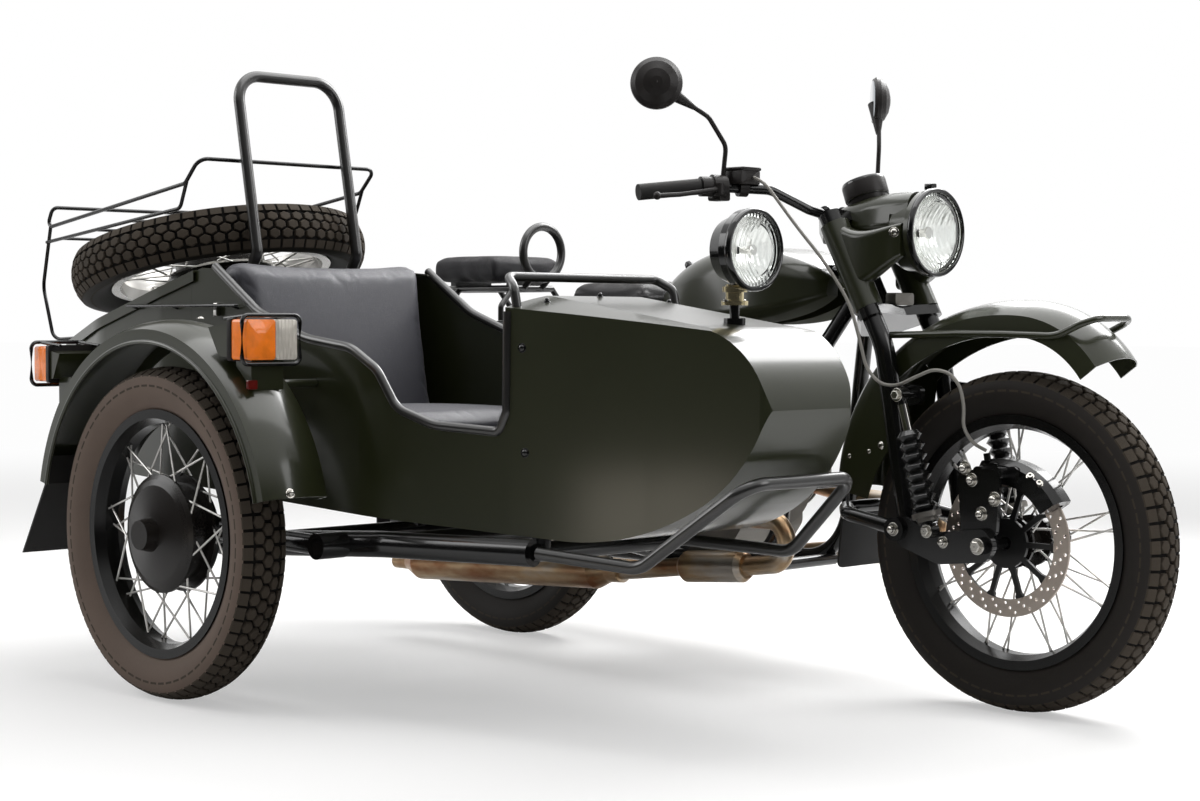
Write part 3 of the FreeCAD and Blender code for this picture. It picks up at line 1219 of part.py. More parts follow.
nodes["seat_back"] = seat_back(0.0)
nodes["seat_cushion"] = cut(cushion(200, 680, BODY_Y - SEAT_HALF, BODY_Y + SEAT_HALF, SHELF_Z + FIT, 604,
                                    26),
                            leaning(box(-200, SEAT_TOP.x + 1, BODY_Y - 400, BODY_Y + 400, 200, 1000)))
RAIL_TUBE_R = 9.0


def side_y(x, side):
    """The body's side at x, on its right (-1) or left (1)."""
    for (x0, w0), (x1, w1) in zip(HALF_WIDTHS, HALF_WIDTHS[1:]):
        if x0 <= x <= x1:
            return BODY_Y + side * (w0 + (w1 - w0) * (x - x0) / (x1 - x0))
    return BODY_Y + side * HALF_WIDTHS[-1][1]


def rail_path(rows, side):
    """(x, z) rows as points in the middle of the body's side sheet."""
    return [V(x, side_y(x, side) - side * WALL / 2, z) for x, z in rows]


RAIL_RIGHT = ((147, 896), (300, 800), (463, 746), (612, 728), (694, 686), (742, 612), (832, 582),
              (985, 574),
              (1002, 612), (1004, 800))
RAIL_LEFT = ((147, 896), (300, 800), (463, 746), (930, 742), (1000, 800))


def cockpit_rails(extra=0.0):
    """The tube along each side of the cockpit's edge."""
    right = bent_tube(rail_path(RAIL_RIGHT, -1), RAIL_TUBE_R + extra,
                      [0, 160, 260, 110, 60, 60, 150, 17, 17, 0])
    left = bent_tube(rail_path(RAIL_LEFT, 1), RAIL_TUBE_R + extra, [0, 160, 260, 60, 0])
    return right, left


def grab_hoop():
    """The bent handrail over the cowl's rear edge."""
    x = 1020.0
    ends = 216.0
    points = [V(x, BODY_Y - ends, 780), V(x - 16, BODY_Y - ends, 846), V(x - 50, BODY_Y - ends + 16, 866),
              V(x - 50, BODY_Y + ends - 16, 866), V(x - 16, BODY_Y + ends, 846), V(x, BODY_Y + ends, 780)]
    return cut(bent_tube(points, RAIL_TUBE_R, [0, 22, 20, 20, 22, 0]), body_block(-FIT))


SPOT = V(1404.0, BODY_Y, 912.0)
SPOT_STEM_X = SPOT.x - 40.0


def spot_lamp():
    """A round lamp on a short stem on the nose."""
    bowl = turned_x([(6, 74), (6, 66), (-4, 66), (-44, 30), (-46, 0), (-76, 0), (-72, 34), (-50, 58),
                     (-20, 68),
                     (-14, 74)], SPOT)
    crest = V(SPOT_STEM_X, BODY_Y, crest_z(SPOT_STEM_X))
    stem = rod(crest - V(0, 0, 6), V(SPOT_STEM_X, BODY_Y, SPOT.z - 58), 9.0)
    foot = rod(crest - V(0, 0, 6), crest + V(0, 0, 10), 20.0)
    return cut(fuse([bowl, stem, foot]), body_block(-FIT))


rails = cockpit_rails()
nodes["cockpit_rails"] = Part.makeCompound(list(rails) + [grab_hoop()])
clear = cockpit_rails(FIT)
nodes["sidecar_tub"] = biggest(cut(nodes["sidecar_tub"], clear[0], clear[1]))
nodes["spot_lamp"] = spot_lamp()
nodes["spot_lamp_lens"] = turned_x([(4, 66 - FIT), (9, 50), (12, 24), (12.5, 0), (8, 0), (7, 24), (4, 48),
                                    (-3.6, 66 - FIT)], SPOT)

# ---------------------------------------------------------------- sidecar: chassis
CHASSIS_R = 22.0
RIGHT_RAIL_R = 26.0
NOSE_TUBE_R = 12.0


def sidecar_chassis():
    """Two long rails, cross tubes, and the four ties to the motorcycle's frame."""
    right = [V(150, -985, 306), V(700, -985, 344), V(1070, -930, 352)]
    left = [V(230, -480, 312), V(700, -480, 340), V(1070, -520, 352)]
    pieces = [bent_tube(right, RIGHT_RAIL_R, [0, 200, 0]), bent_tube(left, CHASSIS_R, [0, 200, 0])]
    for x, z in ((240, 313), (620, 335), (1060, 352)):
        yr = -985.0 if x < 700 else -932.0
        yl = -480.0 if x < 700 else -519.0
        pieces.append(rod(V(x, yr, z), V(x, yl, z), CHASSIS_R - 3))
    for x, z in ((240, 313), (1060, 352)):
        for y in (-940.0 if x < 700 else -900.0, -530.0):
            pieces.append(rod(V(x, y, z), V(x, y, floor_z(x) - 1.2 - FIT), 18.0))
    riser = CRADLE_REAR + (CRADLE_TOP - CRADLE_REAR) * 0.55
    front = CRADLE_FRONT + (CRADLE_NECK - CRADLE_FRONT) * 0.55
    pieces.append(rod(V(360, -480, 320), riser + V(0, -FRAME_HALF, 0), 16.0))
    pieces.append(rod(V(1040, -520, 350), front + V(0, -FRAME_HALF, 0), 16.0))
    pieces.append(rod(V(700, -480, 340), V(640, -FRAME_HALF, CRADLE_Z), 14.0))
    y = -FRAME_HALF
    clear = RAIL_R + FIT
    return cut(fuse(pieces), rod(CRADLE_FRONT + V(0, y, 0), CRADLE_REAR + V(0, y, 0), clear),
               rod(CRADLE_REAR + V(0, y, 0), CRADLE_TOP + V(0, y, 0), clear),
               rod(CRADLE_FRONT + V(0, y, 0), CRADLE_NECK + V(0, y * 0.9, 0), clear),
               box(300, 1100, -FRAME_HALF, 0, 100, 700))


def nose_guard():
    """The bent tube that runs under the nose, up round its front and back under the other side."""
    front, knee_right, knee_left = NOSE_X - 22.0, NOSE_X - 248.0, NOSE_X - 171.0
    points = [V(1081.9, -930, 352), V(knee_right, -885, 338), V(front, -846, 500), V(front, -560, 500),
              V(knee_left, -556, 352), V(1081.9, -540, 352)]
    return bent_tube(points, NOSE_TUBE_R, [0, 60, 50, 40, 60, 0])


nodes["sidecar_chassis"] = sidecar_chassis()
nodes["nose_guard"] = nose_guard()
SIDE_GUARD_CENTRE = SIDE_AXLE + V(18, 0, 2)
SIDE_GUARD_R = 438.0
SIDE_GUARD_DEPTH = 48.0
SIDE_GUARD_HALF = 76.0


def sidecar_mudguard():
    """The wide arch over the sidecar wheel, with its three brackets to the body's side."""
    arch = mudguard(SIDE_GUARD_CENTRE, SIDE_GUARD_R, SIDE_GUARD_DEPTH, SIDE_GUARD_HALF, -78.0, 77.0)
    wall = -SIDECAR_TRACK + SIDE_GUARD_HALF
    brackets = []
    for angle in (-40.0, 0.0, 40.0):
        at = on_circle(SIDE_GUARD_CENTRE, SIDE_GUARD_R - SIDE_GUARD_DEPTH + 15, angle)
        brackets.append(rod(V(at.x, wall - 1, at.z), V(at.x, BODY_Y - HALF_WIDTHS[2][1] - FIT, at.z), 9.0))
    return fuse([arch] + brackets)


nodes["sidecar_mudguard"] = sidecar_mudguard()


def sidecar_mudflap():
    """The rubber flap that hangs from the mudguard's tail."""
    top = on_circle(SIDE_GUARD_CENTRE, SIDE_GUARD_R - 24, -70.0)
    low = V(top.x - 104, 0, 270)
    y0 = -SIDECAR_TRACK - SIDE_GUARD_HALF + SHEET + FIT
    y1 = -SIDECAR_TRACK + SIDE_GUARD_HALF - SHEET - FIT
    points = [V(top.x, y0, top.z), V(top.x - 6, y0, top.z - 60), V(low.x, y0, low.z),
              V(low.x + 5, y0, low.z),
              V(top.x + 0, y0, top.z - 60), V(top.x + 6, y0, top.z)]
    return plate(points, V(0, y1 - y0, 0))


nodes["sidecar_mudflap"] = sidecar_mudflap()


def sidecar_swing_arm():
    """The trailing arm inside the wheel with its pivot, axle, brake plate and shock absorber."""
    y = -SIDECAR_TRACK + 104.0
    pivot = V(600, 0, 338)
    pieces = [rod(V(pivot.x, y, pivot.z), V(SIDE_AXLE.x, y, SIDE_AXLE.z), 20.0),
              rod(V(pivot.x, y - 22, pivot.z), V(pivot.x, -985 - RIGHT_RAIL_R - FIT, pivot.z), 26.0),
              rod(V(SIDE_AXLE.x, y - 24, SIDE_AXLE.z), V(SIDE_AXLE.x, y + 24, SIDE_AXLE.z), 30.0),
              rod(V(SIDE_AXLE.x, -SIDECAR_TRACK - 60, SIDE_AXLE.z), V(SIDE_AXLE.x, y, SIDE_AXLE.z), AXLE_R),
              rod(V(SIDE_AXLE.x, -SIDECAR_TRACK + HUB_DRUM["half"] + RUN_GAP, SIDE_AXLE.z),
                  V(SIDE_AXLE.x, -SIDECAR_TRACK + HUB_DRUM["half"] + RUN_GAP + 8, SIDE_AXLE.z), 104.0)]
    return fuse(pieces)


nodes["sidecar_swing_arm"] = sidecar_swing_arm()


def signal_lamp(front):
    """A box lamp on the mudguard, its lens towards the front or the rear."""
    s = 1 if front else -1
    x0, z0, z1 = (566.0, 706.0, 782.0) if front else (-214.0, 648.0, 722.0)
    depth = 126.0 if front else 96.0
    y0 = -SIDECAR_TRACK - 58
    y1 = -SIDECAR_TRACK + 58
    body = plate([V(x0, y0, z0), V(x0, y0, z1), V(x0 - s * depth, y0, z1 - 14),
                  V(x0 - s * depth * 0.72, y0, z0 + 6)],
                 V(0, y1 - y0, 0))
    foot_x = 506.0 if front else -154.0
    foot = box(foot_x, foot_x + 50, y0 + 20, y1 - 20, z0 - 90, z0 + 10)
    keep = rod(SIDE_GUARD_CENTRE + V(0, -200, 0), SIDE_GUARD_CENTRE + V(0, 200, 0), SIDE_GUARD_R + FIT)
    return cut(fuse([body, foot]), keep)


nodes["signal_lamps"] = Part.makeCompound([signal_lamp(True), signal_lamp(False)])

# ---------------------------------------------------------------- boot lid with what it carries
SPARE = V(-262.0, BODY_Y, 917.0)
SPARE_TILT = 13.65
LID_EDGE = 77.0
LID_SKIN = 1.0              # the lid's top above the body's outline


def boot_lid():
    """The sloping lid with a rim turned down outside the body, and the spare wheel's post."""
    z = lid_z
    front, rear = LID_EDGE, REAR_X - 6
    outer = body_block(-7.0).common(box(rear - 20, front, BODY_Y - 400, BODY_Y + 400, 0, 1000))
    slab = plate([V(rear, BODY_Y - 400, z(rear) - 22), V(front, BODY_Y - 400, z(front) - 22),
                  V(front, BODY_Y - 400, z(front) + 1), V(rear, BODY_Y - 400, z(rear) + 1)], V(0, 800, 0))
    under = plate([V(rear - 20, BODY_Y - 400, z(rear - 20) - 60),
                   V(front + 5, BODY_Y - 400, z(front + 5) - 60),
                   V(front + 5, BODY_Y - 400, z(front + 5) - LID_SHEET),
                   V(rear - 20, BODY_Y - 400, z(rear - 20) - LID_SHEET)], V(0, 800, 0))
    inner = body_block(-5.5).common(under)
    lid = cut(outer.common(slab), inner)
    tilt = math.radians(SPARE_TILT)
    up = V(-math.sin(tilt), 0, math.cos(tilt))
    post = rod(SPARE - up * 115.3, SPARE - up * 45, 24.0)
    seat = rod(SPARE - up * 52, SPARE - up * (HUB_DRUM["half"] + FIT), 50.0)
    return fuse([lid, post, seat])


def tilted(shape, centre):
    """A wheel made upright about centre, laid on its side and tilted to the lid."""
    shape.rotate(centre, V(1, 0, 0), 90)
    shape.rotate(centre, V(0, 1, 0), -SPARE_TILT)
    return shape


nodes["boot_lid"] = boot_lid()
nodes["spare_tyre"] = tilted(tyre(SPARE), SPARE)
nodes["spare_wire_wheel"] = tilted(fuse([rim(SPARE), drum_hub(SPARE, 1)]
                                        + spokes(SPARE, HUB_DRUM["flange_r"], HUB_DRUM["half"] - 6)), SPARE)

HOOP_X, HOOP_Z = 85.0, 912.0
HOOP_TOP_X, HOOP_TOP_Z = 3.0, 1325.0
HOOP_HALF = 138.0
HOOP_R = 12.5
RACK_R = 4.5
RACK_HALF = 244.0


def hoop_at(z, side=0):
    """A point on the hoop's slanting legs at height z."""
    share = (z - HOOP_Z) / (HOOP_TOP_Z - HOOP_Z)
    return V(HOOP_X + (HOOP_TOP_X - HOOP_X) * share, BODY_Y + side * HOOP_HALF, z)


def rack_hoop():
    """The tall upright hoop in front of the spare wheel, its feet on the lid."""
    feet = [V(58, BODY_Y + side * HOOP_HALF, lid_z(58) + 13) for side in (-1, 1)]
    points = [feet[0], hoop_at(930, -1), hoop_at(HOOP_TOP_Z, -1), hoop_at(HOOP_TOP_Z, 1), hoop_at(930, 1),
              feet[1]]
    low = LID_SKIN + FIT
    plates = [plate([V(34, BODY_Y + side * HOOP_HALF - 20, lid_z(34) + low),
                     V(75, BODY_Y + side * HOOP_HALF - 20, lid_z(75) + low),
                     V(75, BODY_Y + side * HOOP_HALF - 20, lid_z(75) + low + 5),
                     V(34, BODY_Y + side * HOOP_HALF - 20, lid_z(34) + low + 5)],
                     V(0, 40, 0)) for side in (-1, 1)]
    return fuse([bent_tube(points, HOOP_R, [0, 20, 62, 62, 20, 0])] + plates)


RACK_Z = 1134.0             # where the rack's front bar meets the hoop
RACK_FRONT = 27.0           # the front bar behind the hoop
RACK_SLOPE = math.atan(62.0 / 568.0)


def luggage_rack():
    """The wire rack round and over the spare wheel."""
    pieces = []
    bar_x = hoop_at(RACK_Z).x - RACK_FRONT
    for side in (-1, 1):
        y = BODY_Y + side * RACK_HALF
        upper = [V(bar_x, y, RACK_Z), V(bar_x - 54, y, RACK_Z - 52), V(-627, y, 1000)]
        pieces.append(bent_tube([V(bar_x, BODY_Y, RACK_Z)] + upper + [V(-600, y, 1048),
                                                                      V(-600, BODY_Y, 1048)],
                                RACK_R, [0, 24, 24, 12, 14, 0]))
        pieces.append(bent_tube([V(bar_x - 48, y, RACK_Z - 48), V(-60, y, 1028), V(-628, y, 966)],
                                RACK_R - 0.3,
                                [0, 20, 0]))
        foot = V(-520, y + side * -30, lid_z(-520) + LID_SKIN + 4.8)
        pieces.append(bent_tube([V(-610, y, 1003), V(-646, y, 860), V(-600, y, 733), foot], RACK_R - 0.2,
                                [0, 60, 30, 0]))
        pieces.append(rod(hoop_at(RACK_Z, side), V(bar_x, BODY_Y + side * HOOP_HALF, RACK_Z), RACK_R - 0.3))
    for i in range(4):
        x = -110.0 - i * 150.0
        z = 1028 + (x + 60) * math.tan(RACK_SLOPE)
        pieces.append(rod(V(x, BODY_Y - RACK_HALF, z), V(x, BODY_Y + RACK_HALF, z), RACK_R - 0.8))
    clear = [rod(hoop_at(RACK_Z - 34, side), hoop_at(RACK_Z + 36, side), HOOP_R + FIT) for side in (-1, 1)]
    return cut(fuse(pieces), *clear)


nodes["rack_hoop"] = rack_hoop()
nodes["luggage_rack"] = luggage_rack()

# ---------------------------------------------------------------- to the final place and out
whole = Part.makeCompound(list(nodes.values()))
reach = whole.optimalBoundingBox(False)
SHIFT = V(-(reach.XMin + reach.XMax) / 2, -(reach.YMin + reach.YMax) / 2, -reach.ZMin)
os.makedirs("parts", exist_ok=True)
for name, shape in nodes.items():
    placed = shape.copy()
    placed.translate(SHIFT)
    if not placed.isValid():
        print("not valid:", name)
    placed.exportStep("parts/" + name + ".step")
print("shift %.3f %.3f %.3f" % (SHIFT.x, SHIFT.y, SHIFT.z))
print("size %.1f %.1f %.1f" % (reach.XLength, reach.YLength, reach.ZLength))
print("nodes", len(nodes))
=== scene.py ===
# %% [markdown]
# A sidecar motorcycle, dressed from its CAD frame. The frame gives every steel tube, panel and
# casting at its real place. This lesson adds what CAD leaves plain: rubber tread, stitched
# pads, glass, lamps, fasteners, and a finish for each surface.

# %% The frame
import math

import bmesh
import bpy
import numpy as np
from mathutils import Matrix, Vector


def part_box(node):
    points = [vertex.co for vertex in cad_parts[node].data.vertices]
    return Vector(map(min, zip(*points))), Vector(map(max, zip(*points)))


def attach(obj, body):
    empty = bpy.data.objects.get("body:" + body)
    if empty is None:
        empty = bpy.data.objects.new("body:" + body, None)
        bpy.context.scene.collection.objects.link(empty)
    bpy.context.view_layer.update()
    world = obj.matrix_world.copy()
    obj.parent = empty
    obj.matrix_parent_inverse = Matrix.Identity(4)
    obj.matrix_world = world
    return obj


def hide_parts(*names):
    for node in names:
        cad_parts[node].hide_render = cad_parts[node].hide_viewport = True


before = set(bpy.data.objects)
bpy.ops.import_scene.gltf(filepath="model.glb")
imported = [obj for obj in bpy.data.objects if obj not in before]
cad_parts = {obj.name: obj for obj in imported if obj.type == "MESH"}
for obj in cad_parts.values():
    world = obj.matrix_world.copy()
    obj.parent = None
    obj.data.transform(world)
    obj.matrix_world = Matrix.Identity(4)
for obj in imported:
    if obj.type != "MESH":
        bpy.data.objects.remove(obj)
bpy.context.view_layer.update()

# %% [markdown]
# Sizes here are written in millimetres from the ground point under the rear tyre, as a
# frame builder measures them: x forwards, y to the machine's left, z up. One helper turns
# them into the frame's metres.

# %% Places
low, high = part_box("rear_tyre")
GROUND = np.array([(low.x + high.x) / 2, (low.y + high.y) / 2, low.z])


def place(points):
    """Millimetres from the ground under the rear tyre, divided by 1000 and moved to that point."""
    return np.asarray(points, float) / 1000.0 + GROUND


def unit(vector):
    """The vector divided by its own length."""
    vector = np.asarray(vector, float)
    return vector / np.linalg.norm(vector, axis=-1, keepdims=True)


WHEEL_R = 343.0
TYRE_HALF = 57.0
RIM_R = 256.0
AXLES = {
    "front": (1510.0, 0.0, WHEEL_R),
    "rear": (0.0, 0.0, WHEEL_R),
    "sidecar": (220.0, -1160.0, WHEEL_R),
    "spare": (-262.0, -705.0, 917.0),
}
SPARE_TILT = math.radians(13.65)
BODY_Y = -705.0
print("ground point under the rear tyre:", GROUND.round(4))

# %% [markdown]
# The camera comes first, because every later look is judged through it. It stands about
# 5.4 m away and 0.78 m up, to the right of the machine's front, with a long lens so that the
# wheels stay round.

# %% Camera
LENS_AT = (3988.512, -3636.280, 782.850)
TURN = 0.79377705
TIP = 0.04443224
ROLL = 0.00383212
SENSOR = 36.0
FOCAL = 64.590618
SHIFT_X, SHIFT_Y = 0.00240292, 0.01337825


def camera_matrix():
    """Three square directions: backwards from turn and tip, right across it, and up, then rolled."""
    back = Vector((math.sin(TURN) * math.cos(TIP), -math.cos(TURN) * math.cos(TIP), math.sin(TIP)))
    right = (-back).cross(Vector((0, 0, 1))).normalized()
    up = right.cross(-back)
    rolled = math.cos(ROLL) * right + math.sin(ROLL) * up
    upright = -math.sin(ROLL) * right + math.cos(ROLL) * up
    turned = Matrix((rolled, upright, back)).transposed().to_4x4()
    return Matrix.Translation(Vector(place(LENS_AT))) @ turned


lens = bpy.data.cameras.new("camera")
lens.sensor_width = SENSOR
lens.lens = FOCAL
lens.shift_x = SHIFT_X
lens.shift_y = SHIFT_Y
lens.clip_end = 200.0
camera = bpy.data.objects.new("camera", lens)
camera.matrix_world = camera_matrix()
bpy.context.scene.collection.objects.link(camera)
bpy.context.scene.camera = camera
bpy.context.scene.view_settings.view_transform = "Standard"
print("camera at", [round(v, 3) for v in camera.matrix_world.translation])

# %% [markdown]
# A mesh here is two arrays, points and faces. Each helper below returns such a pair, worked
# out as a whole grid, and several pairs joined make one piece. A grid is the plainest way
# to carry a profile along a path, and numpy fills it without a loop over points.

# %% Grids


def net(points, wrap_u=False, wrap_v=False):
    """Quads between neighbours of a grid of points: row i, column j with the next row and column."""
    rows, columns = points.shape[:2]
    i = np.arange(rows if wrap_u else rows - 1)[:, None]
    j = np.arange(columns if wrap_v else columns - 1)[None, :]
    i1, j1 = (i + 1) % rows, (j + 1) % columns
    corners = [i * columns + j, i1 * columns + j, i1 * columns + j1, i * columns + j1]
    faces = np.stack([c + 0 * (i + j) for c in corners], axis=-1).reshape(-1, 4)
    return points.reshape(-1, 3), faces


def join(parts):
    """Pairs of points and faces laid end to end, with each face's numbers moved on."""
    points, faces, count = [], [], 0
    for some_points, some_faces in parts:
        points.append(some_points)
        faces.extend((np.asarray(some_faces) + count).tolist())
        count += len(some_points)
    return np.concatenate(points), faces


def across(axis):
    """Two directions square to an axis and to each other."""
    axis = unit(axis)
    helper = np.array([0.0, 0.0, 1.0]) if abs(axis[2]) < 0.9 else np.array([1.0, 0.0, 0.0])
    first = unit(np.cross(helper, axis))
    return first, np.cross(axis, first)


def spun(profile, centre, axis, sides):
    """A profile of (radius, height) turned about an axis: centre + height·axis + radius·(cos, sin)."""
    profile = np.asarray(profile, float)
    first, second = across(axis)
    angle = np.linspace(0, 2 * math.pi, sides, endpoint=False)[:, None, None]
    ring = np.cos(angle) * first + np.sin(angle) * second
    points = np.asarray(centre, float) + profile[None, :, 1:] * unit(axis) + profile[None, :, :1] * ring
    return net(points, wrap_u=True)


def tube(path, radius, sides=12, up=(0.0, 0.0, 1.0), closed=False):
    """A circle carried along a path: at each point, radius·(cos, sin) square to the path's run."""
    path = np.asarray(path, float)
    run = np.roll(path, -1, 0) - np.roll(path, 1, 0) if closed else np.gradient(path, axis=0)
    run = unit(run)
    first = unit(np.asarray(up) - (run @ np.asarray(up))[:, None] * run)
    second = np.cross(run, first)
    angle = np.linspace(0, 2 * math.pi, sides, endpoint=False)[None, :, None]
    radius = np.broadcast_to(np.asarray(radius, float), (len(path),))[:, None, None]
    points = path[:, None] + radius * (np.cos(angle) * first[:, None] + np.sin(angle) * second[:, None])
    if not closed:
        ends = [np.repeat(path[k][None, None], sides, 1) for k in (0, -1)]
        points = np.concatenate([ends[0], points, ends[1]])
    return net(points, wrap_u=closed, wrap_v=True)


def piece(name, parts, body, coat, instead_of=(), smooth=40.0, seal=True):
    """One object from its parts, in metres in the frame, riding on a body, with one finish."""
    points, faces = join(parts)
    mesh = bpy.data.meshes.new(name)
    mesh.from_pydata(place(points).tolist(), [], faces)
    work = bmesh.new()
    work.from_mesh(mesh)
    bmesh.ops.remove_doubles(work, verts=work.verts, dist=2e-6)
    bmesh.ops.dissolve_degenerate(work, edges=work.edges, dist=1e-6)
    if seal:
        bmesh.ops.recalc_face_normals(work, faces=work.faces)
    work.to_mesh(mesh)
    work.free()
    mesh.materials.append(coat)
    mesh.shade_smooth()
    mesh.set_sharp_from_angle(angle=math.radians(smooth))
    made = bpy.data.objects.new(name, mesh)
    bpy.context.scene.collection.objects.link(made)
    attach(made, body)
    if instead_of:
        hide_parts(*instead_of)
    print(f"{name}: {len(mesh.polygons)} faces on {body}")
    return made

# %% [markdown]
# Real surfaces are never one flat colour. Two effects serve nearly every finish here: slow
# variation in tone with fine dust on what faces up, and a grain that a bump follows. Each is
# a node group, so every material sets its own numbers on it.

# %% Node groups


def shade(red, green, blue):
    """A tone as a painter mixes it, 0 to 255 on a screen, turned into linear light."""
    tone = np.array([red, green, blue]) / 255.0
    light = np.where(tone <= 0.04045, tone / 12.92, ((tone + 0.055) / 1.055) ** 2.4)
    return tuple(light.tolist()) + (1.0,)


class Tree:
    """Adds nodes to a tree and joins their sockets, so that a recipe reads as a list of steps."""

    def __init__(self, tree):
        self.tree = tree

    def add(self, kind, inputs=None, **settings):
        node = self.tree.nodes.new("ShaderNode" + kind)
        for key, value in settings.items():
            setattr(node, key, value)
        for key, value in (inputs or {}).items():
            if isinstance(value, bpy.types.NodeSocket):
                self.link(value, node.inputs[key])
            else:
                node.inputs[key].default_value = value
        return node

    def link(self, source, target):
        self.tree.links.new(source, target)

    def here(self):
        return self.add("TexCoord").outputs["Object"]

    def noise(self, at, scale, detail):
        return self.add("TexNoise", {"Vector": at, "Scale": scale, "Detail": detail}).outputs[0]

    def facing_up(self):
        return self.add("SeparateXYZ", {0: self.add("NewGeometry").outputs["Normal"]}).outputs[2]

    def math(self, operation, first, second=0.0):
        return self.add("Math", {0: first, 1: second}, operation=operation).outputs[0]

    def scaled(self, value, low, high, start=0.0, end=1.0, curve="LINEAR"):
        ends = {0: value, 1: low, 2: high, 3: start, 4: end}
        return self.add("MapRange", ends, interpolation_type=curve).outputs[0]

    def blend(self, share, first, second):
        return self.add("MixShader", {0: share, 1: first.outputs[0], 2: second.outputs[0]})

    def relief(self, shader, height, depth, strength=1.0):
        bump = self.add("Bump", {"Height": height, "Strength": strength, "Distance": depth})
        self.link(bump.outputs[0], shader.inputs["Normal"])

    def mix(self, share, first, second):
        node = self.add("Mix", data_type="RGBA")
        for key, value in ((0, share), (6, first), (7, second)):
            if isinstance(value, bpy.types.NodeSocket):
                self.link(value, node.inputs[key])
            else:
                node.inputs[key].default_value = value
        return node.outputs[2]


def kind(key):
    """A socket's type from its name: a colour, a vector or a plain number."""
    ending = "Color" if "Colour" in key else "Vector" if key == "Vector" else "Float"
    return "NodeSocket" + ending


def group(name, inputs, outputs):
    """A node group with named inputs, their usual values, and named outputs."""
    tree = bpy.data.node_groups.new(name, "ShaderNodeTree")
    for key, value in inputs.items():
        made = tree.interface.new_socket(key, in_out="INPUT", socket_type=kind(key))
        if value is not None:
            made.default_value = value
    for key in outputs:
        tree.interface.new_socket(key, in_out="OUTPUT", socket_type=kind(key))
    t = Tree(tree)
    given = tree.nodes.new("NodeGroupInput").outputs
    result = tree.nodes.new("NodeGroupOutput").inputs
    return t, given, result


def finish_group():
    """Tone = colour · (1 ± variation by slow noise), greyed by dust where the face looks up."""
    t, given, result = group("finish", {
        "Colour": (0.1, 0.1, 0.1, 1), "Roughness": 0.4, "Variation": 0.1, "Scale": 8.0,
        "Dust": 0.0, "Dust Colour": shade(176, 166, 150)}, ["Colour", "Roughness", "Height"])
    at = t.here()
    slow = t.noise(at, given["Scale"], 4.0)
    quick = t.math("MULTIPLY", given["Scale"], 24.0)
    fine = t.noise(at, quick, 2.0)
    swing = t.math("MULTIPLY", t.math("SUBTRACT", slow, 0.5), given["Variation"])
    level = t.math("ADD", t.math("MULTIPLY", swing, 2.0), 1.0)
    toned = t.add("VectorMath", {0: given["Colour"], "Scale": level}, operation="SCALE").outputs[0]
    up = t.facing_up()
    lies = t.scaled(up, 0.2, 1.0, 0.15, 1.0)
    patch = t.scaled(fine, 0.42, 0.7, 0.35, 1.0)
    dust = t.math("MULTIPLY", t.math("MULTIPLY", lies, patch), given["Dust"])
    t.link(t.mix(dust, toned, given["Dust Colour"]), result["Colour"])
    rough = t.math("ADD", given["Roughness"], t.math("MULTIPLY", swing, 0.6))
    dulled = t.math("ADD", rough, t.math("MULTIPLY", dust, 0.6))
    t.link(t.math("MAXIMUM", dulled, 0.02), result["Roughness"])
    t.link(fine, result["Height"])
    return t.tree


def grain_group():
    """Leather's cells: the distance to the nearest cell border, bent by a little noise."""
    t, given, result = group("leather_grain", {"Scale": 520.0}, ["Height"])
    at = t.here()
    sway = t.add("TexNoise", {"Vector": at, "Scale": 60.0, "Detail": 2.0}).outputs[1]
    bent = t.add("MixRGB", {0: 0.012, 1: at, 2: sway}, blend_type="ADD").outputs[0]
    cells = t.add("TexVoronoi", {"Vector": bent, "Scale": given["Scale"]},
                  feature="DISTANCE_TO_EDGE").outputs[0]
    raised = t.scaled(cells, 0.0, 0.25, 0.0, 1.0)
    t.link(raised, result["Height"])
    return t.tree


def cast_group():
    """Sand-cast skin: two sizes of noise added, coarse for the mould and fine for the grit."""
    t, given, result = group("cast_skin", {"Scale": 260.0}, ["Height"])
    at = t.here()
    coarse = t.noise(at, given["Scale"], 3.0)
    grit = t.math("MULTIPLY", given["Scale"], 5.0)
    fine = t.noise(at, grit, 2.0)
    both = t.math("ADD", t.math("MULTIPLY", coarse, 0.7), t.math("MULTIPLY", fine, 0.3))
    t.link(both, result["Height"])
    return t.tree


FINISH = finish_group()
GRAIN = grain_group()
CAST = cast_group()
print("node groups:", [g.name for g in bpy.data.node_groups])

# %% [markdown]
# A wheel is one CAD node, yet three finishes: a black hub, chrome spokes and a painted rim.
# They differ by distance from the axle, so the material measures that distance and switches.

# %% Wheel zones


def zone_group():
    """Radius = the length of (x, z) from the axle; the hub's and rim's shares step at two radii."""
    t, given, result = group("wheel_zones", {"Vector": None, "Hub": 0.12, "Rim": 0.2255},
                             ["Hub", "Rim", "Radius"])
    flat = t.add("VectorMath", {0: given["Vector"], 1: (1.0, 0.0, 1.0)}, operation="MULTIPLY").outputs[0]
    radius = t.add("VectorMath", {0: flat}, operation="LENGTH").outputs["Value"]
    t.link(t.math("LESS_THAN", radius, given["Hub"]), result["Hub"])
    t.link(t.math("GREATER_THAN", radius, given["Rim"]), result["Rim"])
    t.link(radius, result["Radius"])
    return t.tree


ZONES = zone_group()

# %% [markdown]
# Each finish below is a Principled shader fed by the groups. Values that are the same all
# over, such as coat or specular level, sit on the shader itself.

# %% Materials


def fresh(name, **steady):
    """A new material, a helper for its tree, and its Principled shader with its steady values set."""
    made = bpy.data.materials.new(name)
    made.use_nodes = True
    shader = made.node_tree.nodes["Principled BSDF"]
    for key, value in steady.items():
        shader.inputs[key.replace("_", " ")].default_value = value
    return made, Tree(made.node_tree), shader


